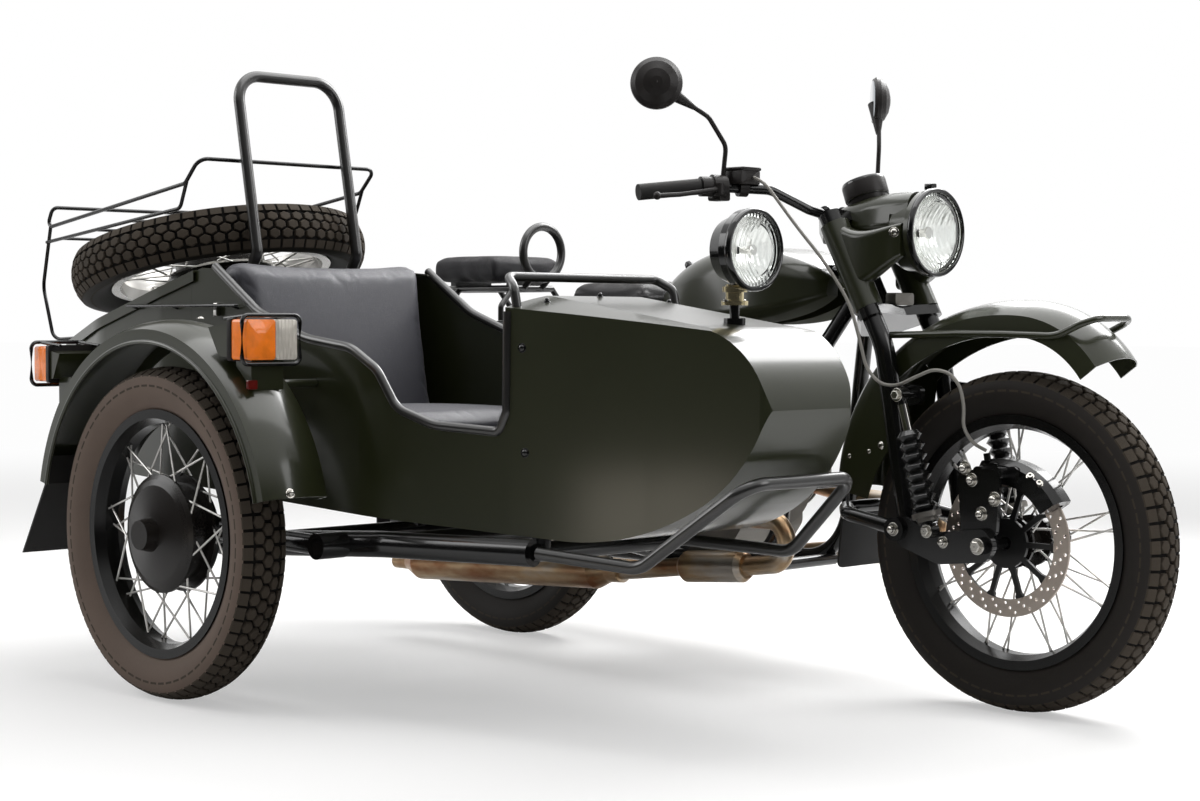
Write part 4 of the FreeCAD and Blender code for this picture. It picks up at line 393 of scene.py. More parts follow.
def finished(t, shader, colour, rough, variation=0.1, scale=8.0, dust=0.0):
    """The finish group, given its five values, joined to the shader's colour and roughness."""
    values = {"Colour": colour, "Roughness": rough, "Variation": variation, "Scale": scale, "Dust": dust}
    finish = t.add("Group", values, node_tree=FINISH)
    t.link(finish.outputs["Colour"], shader.inputs["Base Color"])
    t.link(finish.outputs["Roughness"], shader.inputs["Roughness"])
    return finish.outputs["Height"]


def material(name, colour, rough, variation=0.08, scale=6.0, dust=0.0, bump=None, depth=0.0,
             bump_scale=None, **steady):
    """Principled fed by the finish group, with a bump from a named grain when one is given."""
    made, t, shader = fresh(name, **steady)
    height = finished(t, shader, colour, rough, variation, scale, dust)
    if bump:
        grain = t.add("Group", node_tree=bump)
        if bump_scale:
            grain.inputs["Scale"].default_value = bump_scale
        height = grain.outputs["Height"]
    if depth:
        t.relief(shader, height, depth)
    return made


OLIVE = material("olive_paint", shade(36, 39, 20), 0.34, 0.10, 5.0, 0.01, depth=0.00002,
                 Coat_Weight=0.75, Coat_Roughness=0.14, Specular_IOR_Level=0.3)
BLACK = material("black_enamel", shade(13, 13, 13), 0.2, 0.15, 9.0, 0.01, depth=0.00003,
                 Coat_Weight=0.35, Coat_Roughness=0.06, Specular_IOR_Level=0.4)
RAIL = material("rail_enamel", shade(30, 29, 28), 0.3, 0.15, 9.0, 0.01, depth=0.00003,
                Coat_Weight=0.3, Coat_Roughness=0.12, Specular_IOR_Level=0.75)
BLACK_GLOSS = material("black_gloss", shade(14, 14, 14), 0.12, 0.08, 9.0, 0.0,
                       Coat_Weight=0.5, Coat_Roughness=0.04, Specular_IOR_Level=0.4)
PLASTIC = material("black_plastic", shade(37, 34, 33), 0.4, 0.12, 9.0, 0.01, CAST, 0.00006, 900.0,
                   Specular_IOR_Level=0.3)
RUBBER = material("black_rubber", shade(27, 26, 25), 0.72, 0.15, 12.0, 0.03, CAST, 0.00008, 700.0)
FLAP = material("flap_rubber", shade(22, 20, 19), 0.6, 0.12, 6.0, 0.03, CAST, 0.0001, 220.0)
TREAD = material("tread_rubber", shade(60, 53, 45), 0.82, 0.3, 16.0, 0.10, CAST, 0.00015, 500.0,
                 Specular_IOR_Level=0.25)
WALL = material("sidewall_rubber", shade(34, 30, 27), 0.62, 0.15, 10.0, 0.03, CAST, 0.00006, 700.0,
                Specular_IOR_Level=0.3)
DUSTY = material("dusty_sidewall", shade(99, 85, 76), 0.7, 0.2, 9.0, 0.06, CAST, 0.0001, 500.0,
                 Specular_IOR_Level=0.25)
# Painted shade: the carcass between the tread blocks gets a tone darker than the sidewall rubber it is
# made of.
GROOVE_SHADE = material("tread_groove_shade", shade(17, 15, 13), 0.85, 0.2, 16.0, 0.0, CAST, 0.0001, 500.0,
                   Specular_IOR_Level=0.15)
HOSE = material("brake_hose", shade(142, 139, 133), 0.5, 0.1, 60.0, 0.0, CAST, 0.0001, 900.0)
CAST_GREY = material("cast_aluminium", shade(122, 119, 114), 0.46, 0.2, 14.0, 0.08, CAST, 0.00022,
                     Metallic=0.9)
CHROME = material("chrome_plate", shade(206, 204, 200), 0.07, 0.04, 20.0, 0.0, Metallic=1.0)
BOLT = material("bright_bolt", shade(200, 197, 190), 0.2, 0.1, 60.0, 0.0, Metallic=1.0)
BRASS = material("worn_brass_plate", shade(214, 200, 160), 0.18, 0.2, 30.0, 0.0, Metallic=0.9)
LEATHER = material("leatherette", shade(70, 70, 77), 0.42, 0.1, 9.0, 0.03, GRAIN, 0.00018,
                   Specular_IOR_Level=0.55, Sheen_Weight=0.08, Sheen_Roughness=0.5)
SADDLE = material("saddle_leatherette", shade(34, 33, 35), 0.48, 0.1, 9.0, 0.05, GRAIN, 0.00018,
                  Specular_IOR_Level=0.5)
PILLION = material("pillion_cloth", shade(27, 25, 30), 0.6, 0.2, 12.0, 0.02, GRAIN, 0.0003, 700.0,
                   Sheen_Weight=0.06, Specular_IOR_Level=0.4)
AMBER = material("amber_lens", shade(255, 132, 36), 0.14, 0.3, 46.0, 0.0, depth=0.0003,
                 Coat_Weight=0.7, Coat_Roughness=0.04, IOR=1.49)
RED = material("red_reflector", shade(92, 20, 16), 0.2, 0.12, 60.0, 0.0,
               Coat_Weight=0.6, Coat_Roughness=0.05)
MIRROR = material("mirror_glass", shade(170, 174, 178), 0.03, 0.02, 20.0, 0.0, Metallic=1.0)
DIAL = material("dial_face", shade(232, 230, 224), 0.4, 0.02, 20.0, 0.0)
print("finishes:", len(bpy.data.materials))


def shaded_below(base, name):
    """A copy whose coat fades out and whose surface turns matt where it faces down: painted shade on the
    underside.
    """
    made = base.copy()
    made.name = name
    t = Tree(made.node_tree)
    shader = made.node_tree.nodes["Principled BSDF"]
    facing = t.facing_up()
    coat_share = t.scaled(facing, -0.42, -0.05)
    coat = shader.inputs["Coat Weight"].default_value
    t.link(t.math("MULTIPLY", coat_share, coat), shader.inputs["Coat Weight"])
    polish = shader.inputs["Roughness"].links[0].from_socket
    dull = t.math("SUBTRACT", 0.95, t.math("MULTIPLY", coat_share, 0.95))
    t.link(t.math("MAXIMUM", polish, dull), shader.inputs["Roughness"])
    return made


# The tank's underside loses its coat and gloss, so it reflects nothing there: painted shade.
TANK_PAINT_SHADED = shaded_below(OLIVE, "tank_paint_shaded")


def zones_about(t, centre, hub_r, tilt=0.0):
    """The zone group read about one axle, which may be tilted: its hub and rim shares and the radius."""
    placing = {"Vector": t.here(), "Location": tuple(place(centre)), "Rotation": (tilt, 0.0, 0.0)}
    turned = t.add("Mapping", placing, vector_type="TEXTURE").outputs[0]
    zones = t.add("Group", {"Vector": turned, "Hub": hub_r}, node_tree=ZONES)
    return zones.outputs["Hub"], zones.outputs["Rim"], zones.outputs["Radius"]


SPOKE = shade(222, 220, 216)


def wheel_material(name, centre, tilt=0.0, rim=shade(13, 13, 13), hub=shade(27, 24, 22), bright_rim=0.0,
                   hub_r=0.124):
    """Chrome between two radii, paint inside and outside them, about one wheel's own axle."""
    made, t, shader = fresh(name, Specular_IOR_Level=0.35)
    in_hub, in_rim, _ = zones_about(t, centre, hub_r, tilt)
    tone = t.mix(in_rim, t.mix(in_hub, SPOKE, hub), rim)
    finished(t, shader, tone, 0.24, 0.1, 12.0, 0.03)
    painted = t.math("ADD", in_hub, t.math("MULTIPLY", in_rim, 1.0 - bright_rim))
    t.link(t.math("MULTIPLY", t.math("SUBTRACT", 1.0, painted), 0.6), shader.inputs["Metallic"])
    return made


def disc_material(name, centre):
    """Turned steel: noise read only along the radius, so that its lines run round the axle."""
    made, t, shader = fresh(name)
    in_hub, _, radius = zones_about(t, centre, 0.1125)
    turning = {"W": radius, "Scale": 900.0, "Detail": 3.0}
    rings = t.add("TexNoise", turning, noise_dimensions="1D").outputs[0]
    steel = t.mix(rings, shade(172, 160, 150), shade(222, 210, 200))
    finished(t, shader, t.mix(in_hub, steel, shade(18, 18, 18)), 0.36)
    t.link(t.math("SUBTRACT", 1.0, in_hub), shader.inputs["Metallic"])
    t.relief(shader, rings, 0.00005)
    return made


def heat_material():
    """Stainless that has been hot: straw and brown by slow noise along the pipe, over bare grey."""
    made, t, shader = fresh("heat_tinted_steel", Metallic=1.0)
    at = t.here()
    stretched = t.add("Mapping", {"Vector": at, "Scale": (1.0, 3.0, 3.0)}).outputs[0]
    patches = t.noise(stretched, 5.0, 4.0)
    ramp = t.add("ValToRGB", {0: patches})
    stops = ramp.color_ramp.elements
    stops[0].position, stops[0].color = 0.38, shade(186, 178, 168)
    stops[1].position, stops[1].color = 0.66, shade(138, 96, 66)
    stops.new(0.52).color = shade(176, 150, 118)
    finished(t, shader, ramp.outputs[0], 0.32, 0.12, 14.0, 0.05)
    return made


def glass_material(name):
    """Clear glass with its plain index; light for shadows passes straight through to the dish."""
    made, t, shader = fresh(name, Transmission_Weight=1.0, IOR=1.45)
    at = t.here()
    haze = t.noise(at, 30.0, 3.0)
    level = t.scaled(haze, 0.3, 0.8, 0.0, 0.05)
    t.link(level, shader.inputs["Roughness"])
    tone = t.mix(haze, shade(255, 255, 255), shade(240, 244, 244))
    t.link(tone, shader.inputs["Base Color"])
    shadow = t.add("LightPath").outputs["Is Shadow Ray"]
    open_way = t.add("BsdfTransparent")
    both = t.blend(shadow, shader, open_way)
    t.link(both.outputs[0], made.node_tree.nodes["Material Output"].inputs["Surface"])
    return made


GLASS = glass_material("lamp_glass")
HEAT = heat_material()
DISC = disc_material("turned_disc", AXLES["front"])
WHEEL_FINISH = {
    "front": wheel_material("front_wheel_finish", AXLES["front"], hub_r=0.056),
    "rear": wheel_material("rear_wheel_finish", AXLES["rear"]),
    "sidecar": wheel_material("sidecar_wheel_finish", AXLES["sidecar"]),
    "spare": wheel_material("spare_wheel_finish", AXLES["spare"],
                            tilt=math.radians(90), rim=shade(196, 194, 190), bright_rim=1.0),
}

# %% [markdown]
# Every CAD node now gets its finish. One table says which, so that a reader can see the whole
# machine's paint scheme at a glance.

# %% Paint scheme
SCHEME = (
    (OLIVE, ("sidecar_tub", "sidecar_boot", "boot_lid", "sidecar_mudguard", "front_mudguard", "headlamp",
             "signal_lamps")),
    (TANK_PAINT_SHADED, ("fuel_tank",)),
    (BLACK, ("main_frame", "fork", "front_swing_arm", "fork_shocks", "rear_shocks", "rear_swing_arm",
             "rear_mudguard", "side_boxes", "foot_controls", "sidecar_chassis", "sidecar_swing_arm",
             "luggage_rack", "handlebar", "front_caliper")),
    (RAIL, ("pillion_rail", "cockpit_rails", "nose_guard", "rack_hoop")),
    (BLACK_GLOSS, ("spot_lamp",)),
    (PLASTIC, ("hand_controls", "mirrors", "tail_lamp")),
    (RUBBER, ("grips",)),
    (FLAP, ("sidecar_mudflap", "splash_flap")),
    (CAST_GREY, ("engine", "left_cylinder", "right_cylinder", "gearbox", "carburettors")),
    (HEAT, ("exhaust",)),
    (HOSE, ("brake_hose",)),
    (DISC, ("front_brake_disc",)),
    (GLASS, ("headlamp_lens", "spot_lamp_lens")),
    (LEATHER, ("seat_back", "seat_cushion")),
    (SADDLE, ("rider_saddle",)),
    (PILLION, ("pillion_pad",)),
    (WALL, ("front_tyre", "rear_tyre", "sidecar_tyre", "spare_tyre")),
    (WHEEL_FINISH["front"], ("front_wire_wheel",)),
    (WHEEL_FINISH["rear"], ("rear_wire_wheel",)),
    (WHEEL_FINISH["sidecar"], ("sidecar_wire_wheel",)),
    (WHEEL_FINISH["spare"], ("spare_wire_wheel",)),
)
for coat, names in SCHEME:
    for node_name in names:
        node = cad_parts.get(node_name)
        if node is None:
            continue
        node.data.materials.clear()
        node.data.materials.append(coat)
print("painted nodes:", sum(len(names) for _, names in SCHEME))

# %% [markdown]
# The studio is a pale floor under an even sky. A wide soft lamp hangs above, one stands ahead,
# one beyond the far side, and two to the right, one of them low and warm. Rays that the camera,
# chrome and glass send see a white room that darkens behind the camera, because that is where a
# real studio keeps its lights off.

# %% Studio
BACKDROP_WAY = (-0.62, 0.78, 0.0)
DARK_SIDE = 0.03
WHITE = (1.0, 1.0, 1.0, 1.0)
SKY = 0.34
FLOOR_HALF = 60000.0
FLOOR_TONE, FLOOR_LIFT = (0.62, 0.615, 0.61, 1), 0.44
BACKDROP_TONE = (0.985, 0.985, 0.985, 1)
SIDE_TINT = (1.0, 0.9, 0.76)


def studio_world():
    """White for camera rays; gloss sees white ahead of the backdrop and overhead, dark elsewhere."""
    world = bpy.data.worlds.new("studio")
    world.use_nodes = True
    bpy.context.scene.world = world
    t = Tree(world.node_tree)
    world.node_tree.nodes.clear()
    ray = t.add("LightPath")
    way = t.add("TexCoord").outputs["Generated"]
    back = t.add("VectorMath", {0: way, 1: BACKDROP_WAY}, operation="DOT_PRODUCT").outputs["Value"]
    rise = t.add("SeparateXYZ", {0: way}).outputs[2]
    behind = t.scaled(back, -0.05, 0.55, curve="SMOOTHSTEP")
    above = t.scaled(rise, 0.30, 0.72, curve="SMOOTHSTEP")
    bright = t.scaled(t.math("MAXIMUM", behind, above), 0.0, 1.0, DARK_SIDE)
    plain = t.add("Background", {"Color": WHITE, "Strength": SKY})
    white = t.add("Background", {"Color": WHITE, "Strength": 1.0})
    gloss = t.add("Background", {"Color": WHITE, "Strength": bright})
    first = t.blend(ray.outputs["Is Glossy Ray"], plain, gloss)
    direct = t.math("MAXIMUM", ray.outputs["Is Camera Ray"], ray.outputs["Is Transmission Ray"])
    last = t.blend(direct, first, white)
    t.add("OutputWorld", {"Surface": last.outputs[0]})


def floor_material():
    """White paint whose far part is the backdrop's own white; gloss sees it dark on the near side."""
    made = bpy.data.materials.new("studio_floor")
    made.use_nodes = True
    t = Tree(made.node_tree)
    made.node_tree.nodes.clear()
    ray = t.add("LightPath")
    at = t.here()
    reach = t.add("VectorMath", {0: at}, operation="LENGTH").outputs["Value"]
    far = t.scaled(reach, 2.6, 9.0, curve="SMOOTHSTEP")
    back = t.add("VectorMath", {0: at, 1: BACKDROP_WAY}, operation="DOT_PRODUCT").outputs["Value"]
    near_side = t.scaled(back, -1.2, 1.2, 1.0, 0.0)
    unlit = t.scaled(reach, 1.6, 4.0, curve="SMOOTHSTEP")
    dim = t.math("MULTIPLY", t.math("MULTIPLY", near_side, unlit), 1.0 - DARK_SIDE)
    paint = t.add("BsdfDiffuse", {"Color": FLOOR_TONE})
    lift = t.add("Emission", {"Color": WHITE, "Strength": FLOOR_LIFT})
    lit = t.add("AddShader", {0: paint.outputs[0], 1: lift.outputs[0]})
    backdrop = t.add("Emission", {"Color": BACKDROP_TONE, "Strength": 1.0})
    seen = t.blend(far, lit, backdrop)
    dark = t.add("Emission", {"Color": WHITE, "Strength": 0.0})
    plain = t.add("BsdfDiffuse", {"Color": (0.8, 0.8, 0.8, 1)})
    mirrored = t.blend(far, plain, backdrop)
    glossy = t.blend(dim, mirrored, dark)
    direct = t.math("MAXIMUM", ray.outputs["Is Camera Ray"], ray.outputs["Is Transmission Ray"])
    first = t.blend(ray.outputs["Is Glossy Ray"], plain, glossy)
    last = t.blend(direct, first, seen)
    t.add("OutputMaterial", {"Surface": last.outputs[0]})
    return made


def studio_floor():
    """One wide flat square under the tyres."""
    sides = np.array([-FLOOR_HALF, FLOOR_HALF])
    corners = np.stack(np.meshgrid(sides, sides, [-0.5], indexing="ij"), -1)[:, :, 0]
    points, faces = net(corners)
    mesh = bpy.data.meshes.new("floor")
    mesh.from_pydata(place(points).tolist(), [], [tuple(reversed(f)) for f in faces.tolist()])
    mesh.materials.append(floor_material())
    made = bpy.data.objects.new("floor", mesh)
    bpy.context.scene.collection.objects.link(made)


def soft_lamp(name, at, aim, size, power, tint=(1.0, 1.0, 1.0)):
    """An area lamp at a place, turned to face its aim."""
    data = bpy.data.lights.new(name, "AREA")
    data.shape = "RECTANGLE"
    data.size, data.size_y = size
    data.energy = power
    data.color = tint
    made = bpy.data.objects.new(name, data)
    made.location = Vector(place(at))
    made.rotation_euler = (Vector(place(aim)) - made.location).to_track_quat("-Z", "Y").to_euler()
    made.visible_camera = False
    bpy.context.scene.collection.objects.link(made)


studio_world()
studio_floor()
soft_lamp("overhead", (500, 300, 3900), (500, -400, 300), (4.2, 4.2), 120.0)
soft_lamp("far_side", (680, 2335, 2920), (1400, -705, 720), (2.8, 1.6), 105.0)
soft_lamp("side", (-2600, -3400, 2600), (300, -700, 500), (2.4, 2.4), 60.0)
soft_lamp("low_side", (330, -3670, 90), (1300, -870, 400), (0.42, 0.42), 1.5, SIDE_TINT)
soft_lamp("nose", (4600, 900, 2200), (1200, -300, 500), (1.8, 2.4), 40.0)

# %% [markdown]
# Tyres. The real tread is moulded rubber blocks, six-sided in the middle rows, with lugs that
# run down the shoulders. Blocks could be a bump, but their outline shows against the floor, so
# each is a small prism laid on the carcass. One block is worked out once and repeated by arrays.

# %% Tyres
BEAD_HALF = 31.0
SHOULDER_HALF = TYRE_HALF * 0.88
CROWN_DROP = 17.0
GROOVE = 6.5
BLOCK_COUNT = 68
PITCH = 2 * math.pi * WHEEL_R / BLOCK_COUNT
ROW_GAP = 20.0
BLOCK_HALF = (11.0, 14.0)


def carcass_profile():
    """Half sections as arcs: bead, a sidewall that bulges to full width, and a shallow crown."""
    shoulder = np.array([SHOULDER_HALF, WHEEL_R - CROWN_DROP])
    a = np.linspace(-1, 1, 13)[:, None]
    bulge = 1 - a**2
    foot = np.array([BEAD_HALF, RIM_R - 1.0])
    wall = foot + (shoulder - foot) * (a + 1) / 2 + np.array([12.0, 3.0]) * bulge
    b = np.linspace(0, 1, 7)[1:, None]
    rise = (CROWN_DROP - GROOVE) * (1 - (1 - b) ** 2) * 0.9
    crown = np.concatenate([shoulder[0] * (1 - b), shoulder[1] + rise], 1)
    half = np.concatenate([[[BEAD_HALF - 6, RIM_R - 11.0]], wall, crown])
    return np.concatenate([half, (half * [-1, 1])[::-1][1:]])


def crown_radius(out):
    """The tread's radius at a distance from the middle: full at 0, less by its 2.1st power."""
    return WHEEL_R - CROWN_DROP * np.abs(out / SHOULDER_HALF) ** 2.1


def repeated(one, size):
    """One block's faces for every block round the tyre, each moved on by a block's points."""
    return (one[None] + np.arange(BLOCK_COUNT)[:, None, None] * size).reshape(-1, 4)


def blocks(centre, axis):
    """Three rows of six-sided blocks, the middle row shifted half a pitch, and a lug at each shoulder."""
    first, second = across(axis)
    starts = np.arange(BLOCK_COUNT) * PITCH

    def laid(out, along, radius):
        angle = (along / WHEEL_R)[..., None]
        spoke = np.cos(angle) * first + np.sin(angle) * second
        return centre + out[..., None] * axis + radius[..., None] * spoke

    parts = []
    turn = np.arange(6) * math.pi / 3
    k = np.arange(6)
    ring = np.stack([k, (k + 1) % 6, (k + 1) % 6 + 6, k + 6], 1)
    hexagon = np.concatenate([ring + 6 * r for r in range(3)])
    for row in (-1, 0, 1):
        rings = []
        for lift, size in ((-1.5, 1.05), (GROOVE * 0.82, 0.98), (GROOVE, 0.86), (GROOVE + 0.15, 0.0)):
            out = row * ROW_GAP + np.cos(turn)[None] * BLOCK_HALF[0] * size + 0 * starts[:, None]
            along = (starts + 0.5 * (row % 2) * PITCH)[:, None] + np.sin(turn)[None] * BLOCK_HALF[1] * size
            rings.append(laid(out, along, crown_radius(out) - GROOVE + lift))
        parts.append((np.stack(rings, 1).reshape(-1, 3), repeated(hexagon, 24)))
    spread = np.array([-0.40, -0.40, 0.40, 0.40]) * PITCH
    raised = np.array([0.0, 1.0, 1.0, 0.0])
    for side in (-1.0, 1.0):
        lines = []
        for out, drop in ((34.0, 0.0), (43.0, 0.0), (50.2, 0.0), (53.0, 9.0), (54.6, 18.0)):
            on_wall = drop > 0
            fade = 0.8 - drop / 40.0 if on_wall else 1.0
            tight = 0.92 if on_wall else 1.0
            floor = WHEEL_R - CROWN_DROP - drop if on_wall else crown_radius(out)
            radius = floor - GROOVE + (GROOVE + 1.0) * raised * fade - 1.0 * (1 - raised)
            push = side * (out + (raised * fade * 3.0 - 1.0 if on_wall else 0 * raised))
            along = (starts + 0.5 * PITCH)[:, None] + spread[None] * tight
            lines.append(laid(push[None] + 0 * along, along, radius[None] + 0 * along))
        grid = np.stack(lines, 1)
        rows, columns = grid.shape[1:3]
        last = (rows - 1) * 4
        caps = np.array([[0, 1, 2, 3], [last, last + 3, last + 2, last + 1]])
        lug = np.concatenate([net(grid[0])[1], caps])
        parts.append((grid.reshape(-1, 3), repeated(lug, rows * columns)))
    return parts


def tyre(key, body, axis=(0.0, 1.0, 0.0)):
    """The carcass spun round the axle with its blocks on it, in place of the plain CAD tyre."""
    centre = np.array(AXLES[key])
    axis = unit(axis)
    profile = carcass_profile()
    carcass = spun(np.stack([profile[:, 1], profile[:, 0]], 1), centre, axis, 120)
    side = DUSTY if key == "sidecar" else WALL
    wall = piece(f"{key}_tyre_carcass", [carcass], body, side, (f"{key}_tyre",), seal=False)
    # The carcass faces under the tread take this darker second finish, painted shade between the blocks.
    wall.data.materials.append(GROOVE_SHADE)
    faces = np.array([tuple(p.center) for p in wall.data.polygons]) - place(centre)
    out = np.linalg.norm(faces - (faces @ axis)[:, None] * axis, axis=1)
    shaded_under_tread = out > (WHEEL_R - CROWN_DROP - 2.0) / 1000.0
    wall.data.polygons.foreach_set("material_index", shaded_under_tread.astype(int))
    piece(f"{key}_tread_blocks", blocks(centre, axis), body, TREAD, smooth=25.0)


SPARE_AXIS = (-math.sin(SPARE_TILT), 0.0, math.cos(SPARE_TILT))
tyre("front", "front_wheel")
tyre("rear", "rear_wheel")
tyre("sidecar", "sidecar_wheel")
tyre("spare", "boot_lid", SPARE_AXIS)

# %% [markdown]
# Padded seats. A seat is foam under a skin cut a little too small, so its face bulges and its
# sides pull in between the corners. Pressure inside a cloth gives that form by itself: each pad
# starts a little small, is blown up for 20 frames, and its seams are pressed in after.

# %% Pads
VOXEL = 0.006
CLOTH_FRAMES = 20
PRESSURE = 4.0
LEAN = math.radians(9.5)
SEAM_DEPTH, SEAM_WIDTH = 2.4, 3.4
FOLD_HEIGHT = 1.6


def pad_form(half, radius, crown, pinch, steps=26):
    """A rounded box: its top rises by crown·(1−u²)(1−v²), its sides draw in by pinch·(1−u²)."""
    half = np.array(half, float)
    t = np.linspace(-1, 1, steps)
    u, v = np.meshgrid(t, t, indexing="ij")
    parts = []
    for axis in range(3):
        for sign in (-1.0, 1.0):
            cube = np.empty(u.shape + (3,))
            cube[..., axis], cube[..., axis - 2], cube[..., axis - 1] = sign, u, v
            full = cube * half
            core = np.clip(full, radius - half, half - radius)
            points = core + radius * unit(full - core)
            along_u, along_v = points[..., 0] / half[0], points[..., 1] / half[1]
            swell = (1 - along_u**2) * (1 - along_v**2)
            points[..., 2] += np.where(points[..., 2] > 0, crown, 0.0) * swell
            points[..., 0] -= pinch * along_u * (1 - along_v**2)
            points[..., 1] -= pinch * along_v * (1 - along_u**2)
            parts.append(net(points))
    points, faces = join(parts)
    return points, np.array(faces)


def frozen(made):
    """The mesh that an object's modifiers give."""
    graph = bpy.context.evaluated_depsgraph_get()
    return bpy.data.meshes.new_from_object(made.evaluated_get(graph))


def spots(mesh):
    """A mesh's points as an array."""
    flat = np.empty(len(mesh.vertices) * 3)
    mesh.vertices.foreach_get("co", flat)
    return flat.reshape(-1, 3)


def inflate(made, cap):
    """Cloth blown up for 20 frames, then each point moved by way·min(1, cap/|way|) from its start."""
    remesh = made.modifiers.new("remesh", "REMESH")
    remesh.mode = "VOXEL"
    remesh.voxel_size = VOXEL
    start = frozen(made)
    made.modifiers.clear()
    made.data = start
    cloth = made.modifiers.new("cloth", "CLOTH")
    cloth.settings.use_pressure = True
    cloth.settings.uniform_pressure_force = PRESSURE
    cloth.settings.effector_weights.gravity = 0.0
    for step in range(CLOTH_FRAMES):
        bpy.context.scene.frame_set(step + 1)
    ends = spots(frozen(made))
    made.modifiers.clear()
    starts = spots(start)
    way = ends - starts
    reach = np.linalg.norm(way, axis=1, keepdims=True)
    moved = starts + way * np.minimum(1.0, cap / np.maximum(reach, 1e-9))
    start.vertices.foreach_set("co", moved.ravel())
    bpy.context.scene.frame_set(1)


def smooth_once(made):
    """One level of subdivision, applied."""
    level = made.modifiers.new("smooth", "SUBSURF")
    level.levels = 1
    level.render_levels = 1
    made.data = frozen(made)
    made.modifiers.clear()
    made.data.shade_smooth()


def carve(made, centre, turn, height):
    """Each point moves along its normal by height(x, y, z), read in the pad's own millimetres."""
    mesh = made.data
    points = spots(mesh)
    normals = np.empty(len(points) * 3)
    mesh.vertices.foreach_get("normal", normals)
    local = ((points - GROUND) * 1000.0 - centre) @ turn
    points += normals.reshape(-1, 3) * height(local)[:, None] / 1000.0
    mesh.vertices.foreach_set("co", points.ravel())
    mesh.update()


def folds(local):
    """Loose cloth: two sines of bent distances added, strongest low on the sides."""
    x, y, z = local.T
    wave = np.sin(x / 9.0 + 1.8 * np.sin(y / 31.0) + 0.9 * np.sin(z / 13.0))
    slow = np.sin(x / 23.0 - y / 17.0 + 1.3 * np.sin(x / 41.0))
    side = np.clip(0.75 - z / 40.0, 0.15, 1.0)
    return FOLD_HEIGHT * side * (0.6 * wave + 0.8 * slow)


def groove(half, inset):
    """A seam round a pad's face, inset from its edge: −depth·exp(−(distance/width)²)."""
    def measure(local):
        edge = np.maximum(np.abs(local[:, 0]) - half[0], np.abs(local[:, 1]) - half[1]) + inset
        away = np.hypot(edge, np.where(local[:, 2] > 0, 0.0, 60.0))
        return -SEAM_DEPTH * np.exp(-(away / SEAM_WIDTH) ** 2)
    return measure


def leaned(lean):
    """Columns are a pad's own x, y and z: the face looks forwards, leaned back by an angle."""
    face = (math.cos(lean), 0.0, math.sin(lean))
    up = (-math.sin(lean), 0.0, math.cos(lean))
    return np.array([up, (0.0, 1.0, 0.0), face]).T * [1, -1, 1]


FLAT = np.eye(3)
BACK_TOP = np.array([178.0, BODY_Y, 912.0])
BACK_TURN = leaned(LEAN)
BACK_AT = BACK_TOP + BACK_TURN @ np.array([-195.0, 0.0, -47.5])
PADS = (    # (name, node, finish, middle, turn, half sizes, corner radius, crown, pinch, cap, seam inset)
    ("padded_seat_back", "seat_back", LEATHER, BACK_AT, BACK_TURN,
     (202, 262, 41), 34, 9, 6, 0.008, 14),
    ("padded_seat_cushion", "seat_cushion", LEATHER, (452.0, BODY_Y, 546.0), FLAT,
     (220, 258, 40), 24, 9, 7, 0.009, 12),
    ("padded_rider_saddle", "rider_saddle", SADDLE, (433.0, 0.0, 840.0), FLAT,
     (126, 120, 22), 20, 10, 8, 0.007, 12),
    ("padded_pillion_seat", "pillion_pad", PILLION, (-70.0, 0.0, 910.0), FLAT,
     (119, 118, 25), 15, 3, 4, 0.006, 0),
)
for name, node, coat, middle, turn, half, radius, crown, pinch, cap, inset in PADS:
    points, faces = pad_form(half, radius, crown, pinch)
    loose = node == "pillion_pad"
    made = piece(name, [(middle + points @ turn.T, faces)], "chassis", coat,
                 (node,))
    inflate(made, cap)
    smooth_once(made)
    carve(made, middle, turn, folds if loose else groove(half, inset))
    print(name, "points:", len(made.data.vertices))

# %% [markdown]
# Lamps. A lamp is a dark bowl, a bright dish, a bulb and a clear lens with moulded ribs. The dish
# is a parabola, since that is what throws a beam, and the ribs are a bump in the glass finish.

# %% Lamps
RIB_PITCH = 0.0085


def ribbed_material(name, metal, tone, rough):
    """Silvered glass with upright ribs: a sine along y, with small cells, read as a bump."""
    made, t, shader = fresh(name, Metallic=metal)
    at = t.here()
    along = t.add("SeparateXYZ", {0: at}).outputs[1]
    ribs = t.math("SINE", t.math("MULTIPLY", along, 2 * math.pi / RIB_PITCH))
    cells = t.add("TexVoronoi", {"Vector": at, "Scale": 70.0}).outputs[0]
    finished(t, shader, tone, rough, 0.12, 30.0)
    height = t.math("ADD", t.math("MULTIPLY", ribs, 0.5), t.math("MULTIPLY", cells, 0.9))
    t.relief(shader, height, 0.0016, 0.55)
    return made


AHEAD = (1.0, 0.0, 0.0)
FLANGE = 6.2
DISH = ribbed_material("silvered_dish", 0.72, shade(250, 250, 246), 0.1)
CLEAR = ribbed_material("clear_moulding", 0.15, shade(206, 200, 190), 0.2)
LAMPS = (   # (name, body, middle, dish radius, depth, front, ring radius, ring width, bulb radius)
    ("headlamp", "steering", (1284.0, 0.0, 968.0), 76.2, 50.0, -5.0, 92.0, 8.0, 9.0),
    ("spot_lamp", "chassis", (1404.0, BODY_Y, 912.0), 59.5, 32.0, -5.0, 75.0, 8.0, 7.0),
)


def dish(middle, rim, depth, front):
    """A parabola, x = front − depth·(1 − (r/rim)²), with a flat flange that meets the lens."""
    r = np.linspace(0.12, 1.0, 16) * rim
    bowl = np.stack([r, front - depth * (1 - (r / rim) ** 2)], 1)
    flange = np.array([[rim + 0.6, -3.75], [rim + FLANGE, -3.75]])
    return spun(np.concatenate([bowl, flange]), middle, AHEAD, 96)


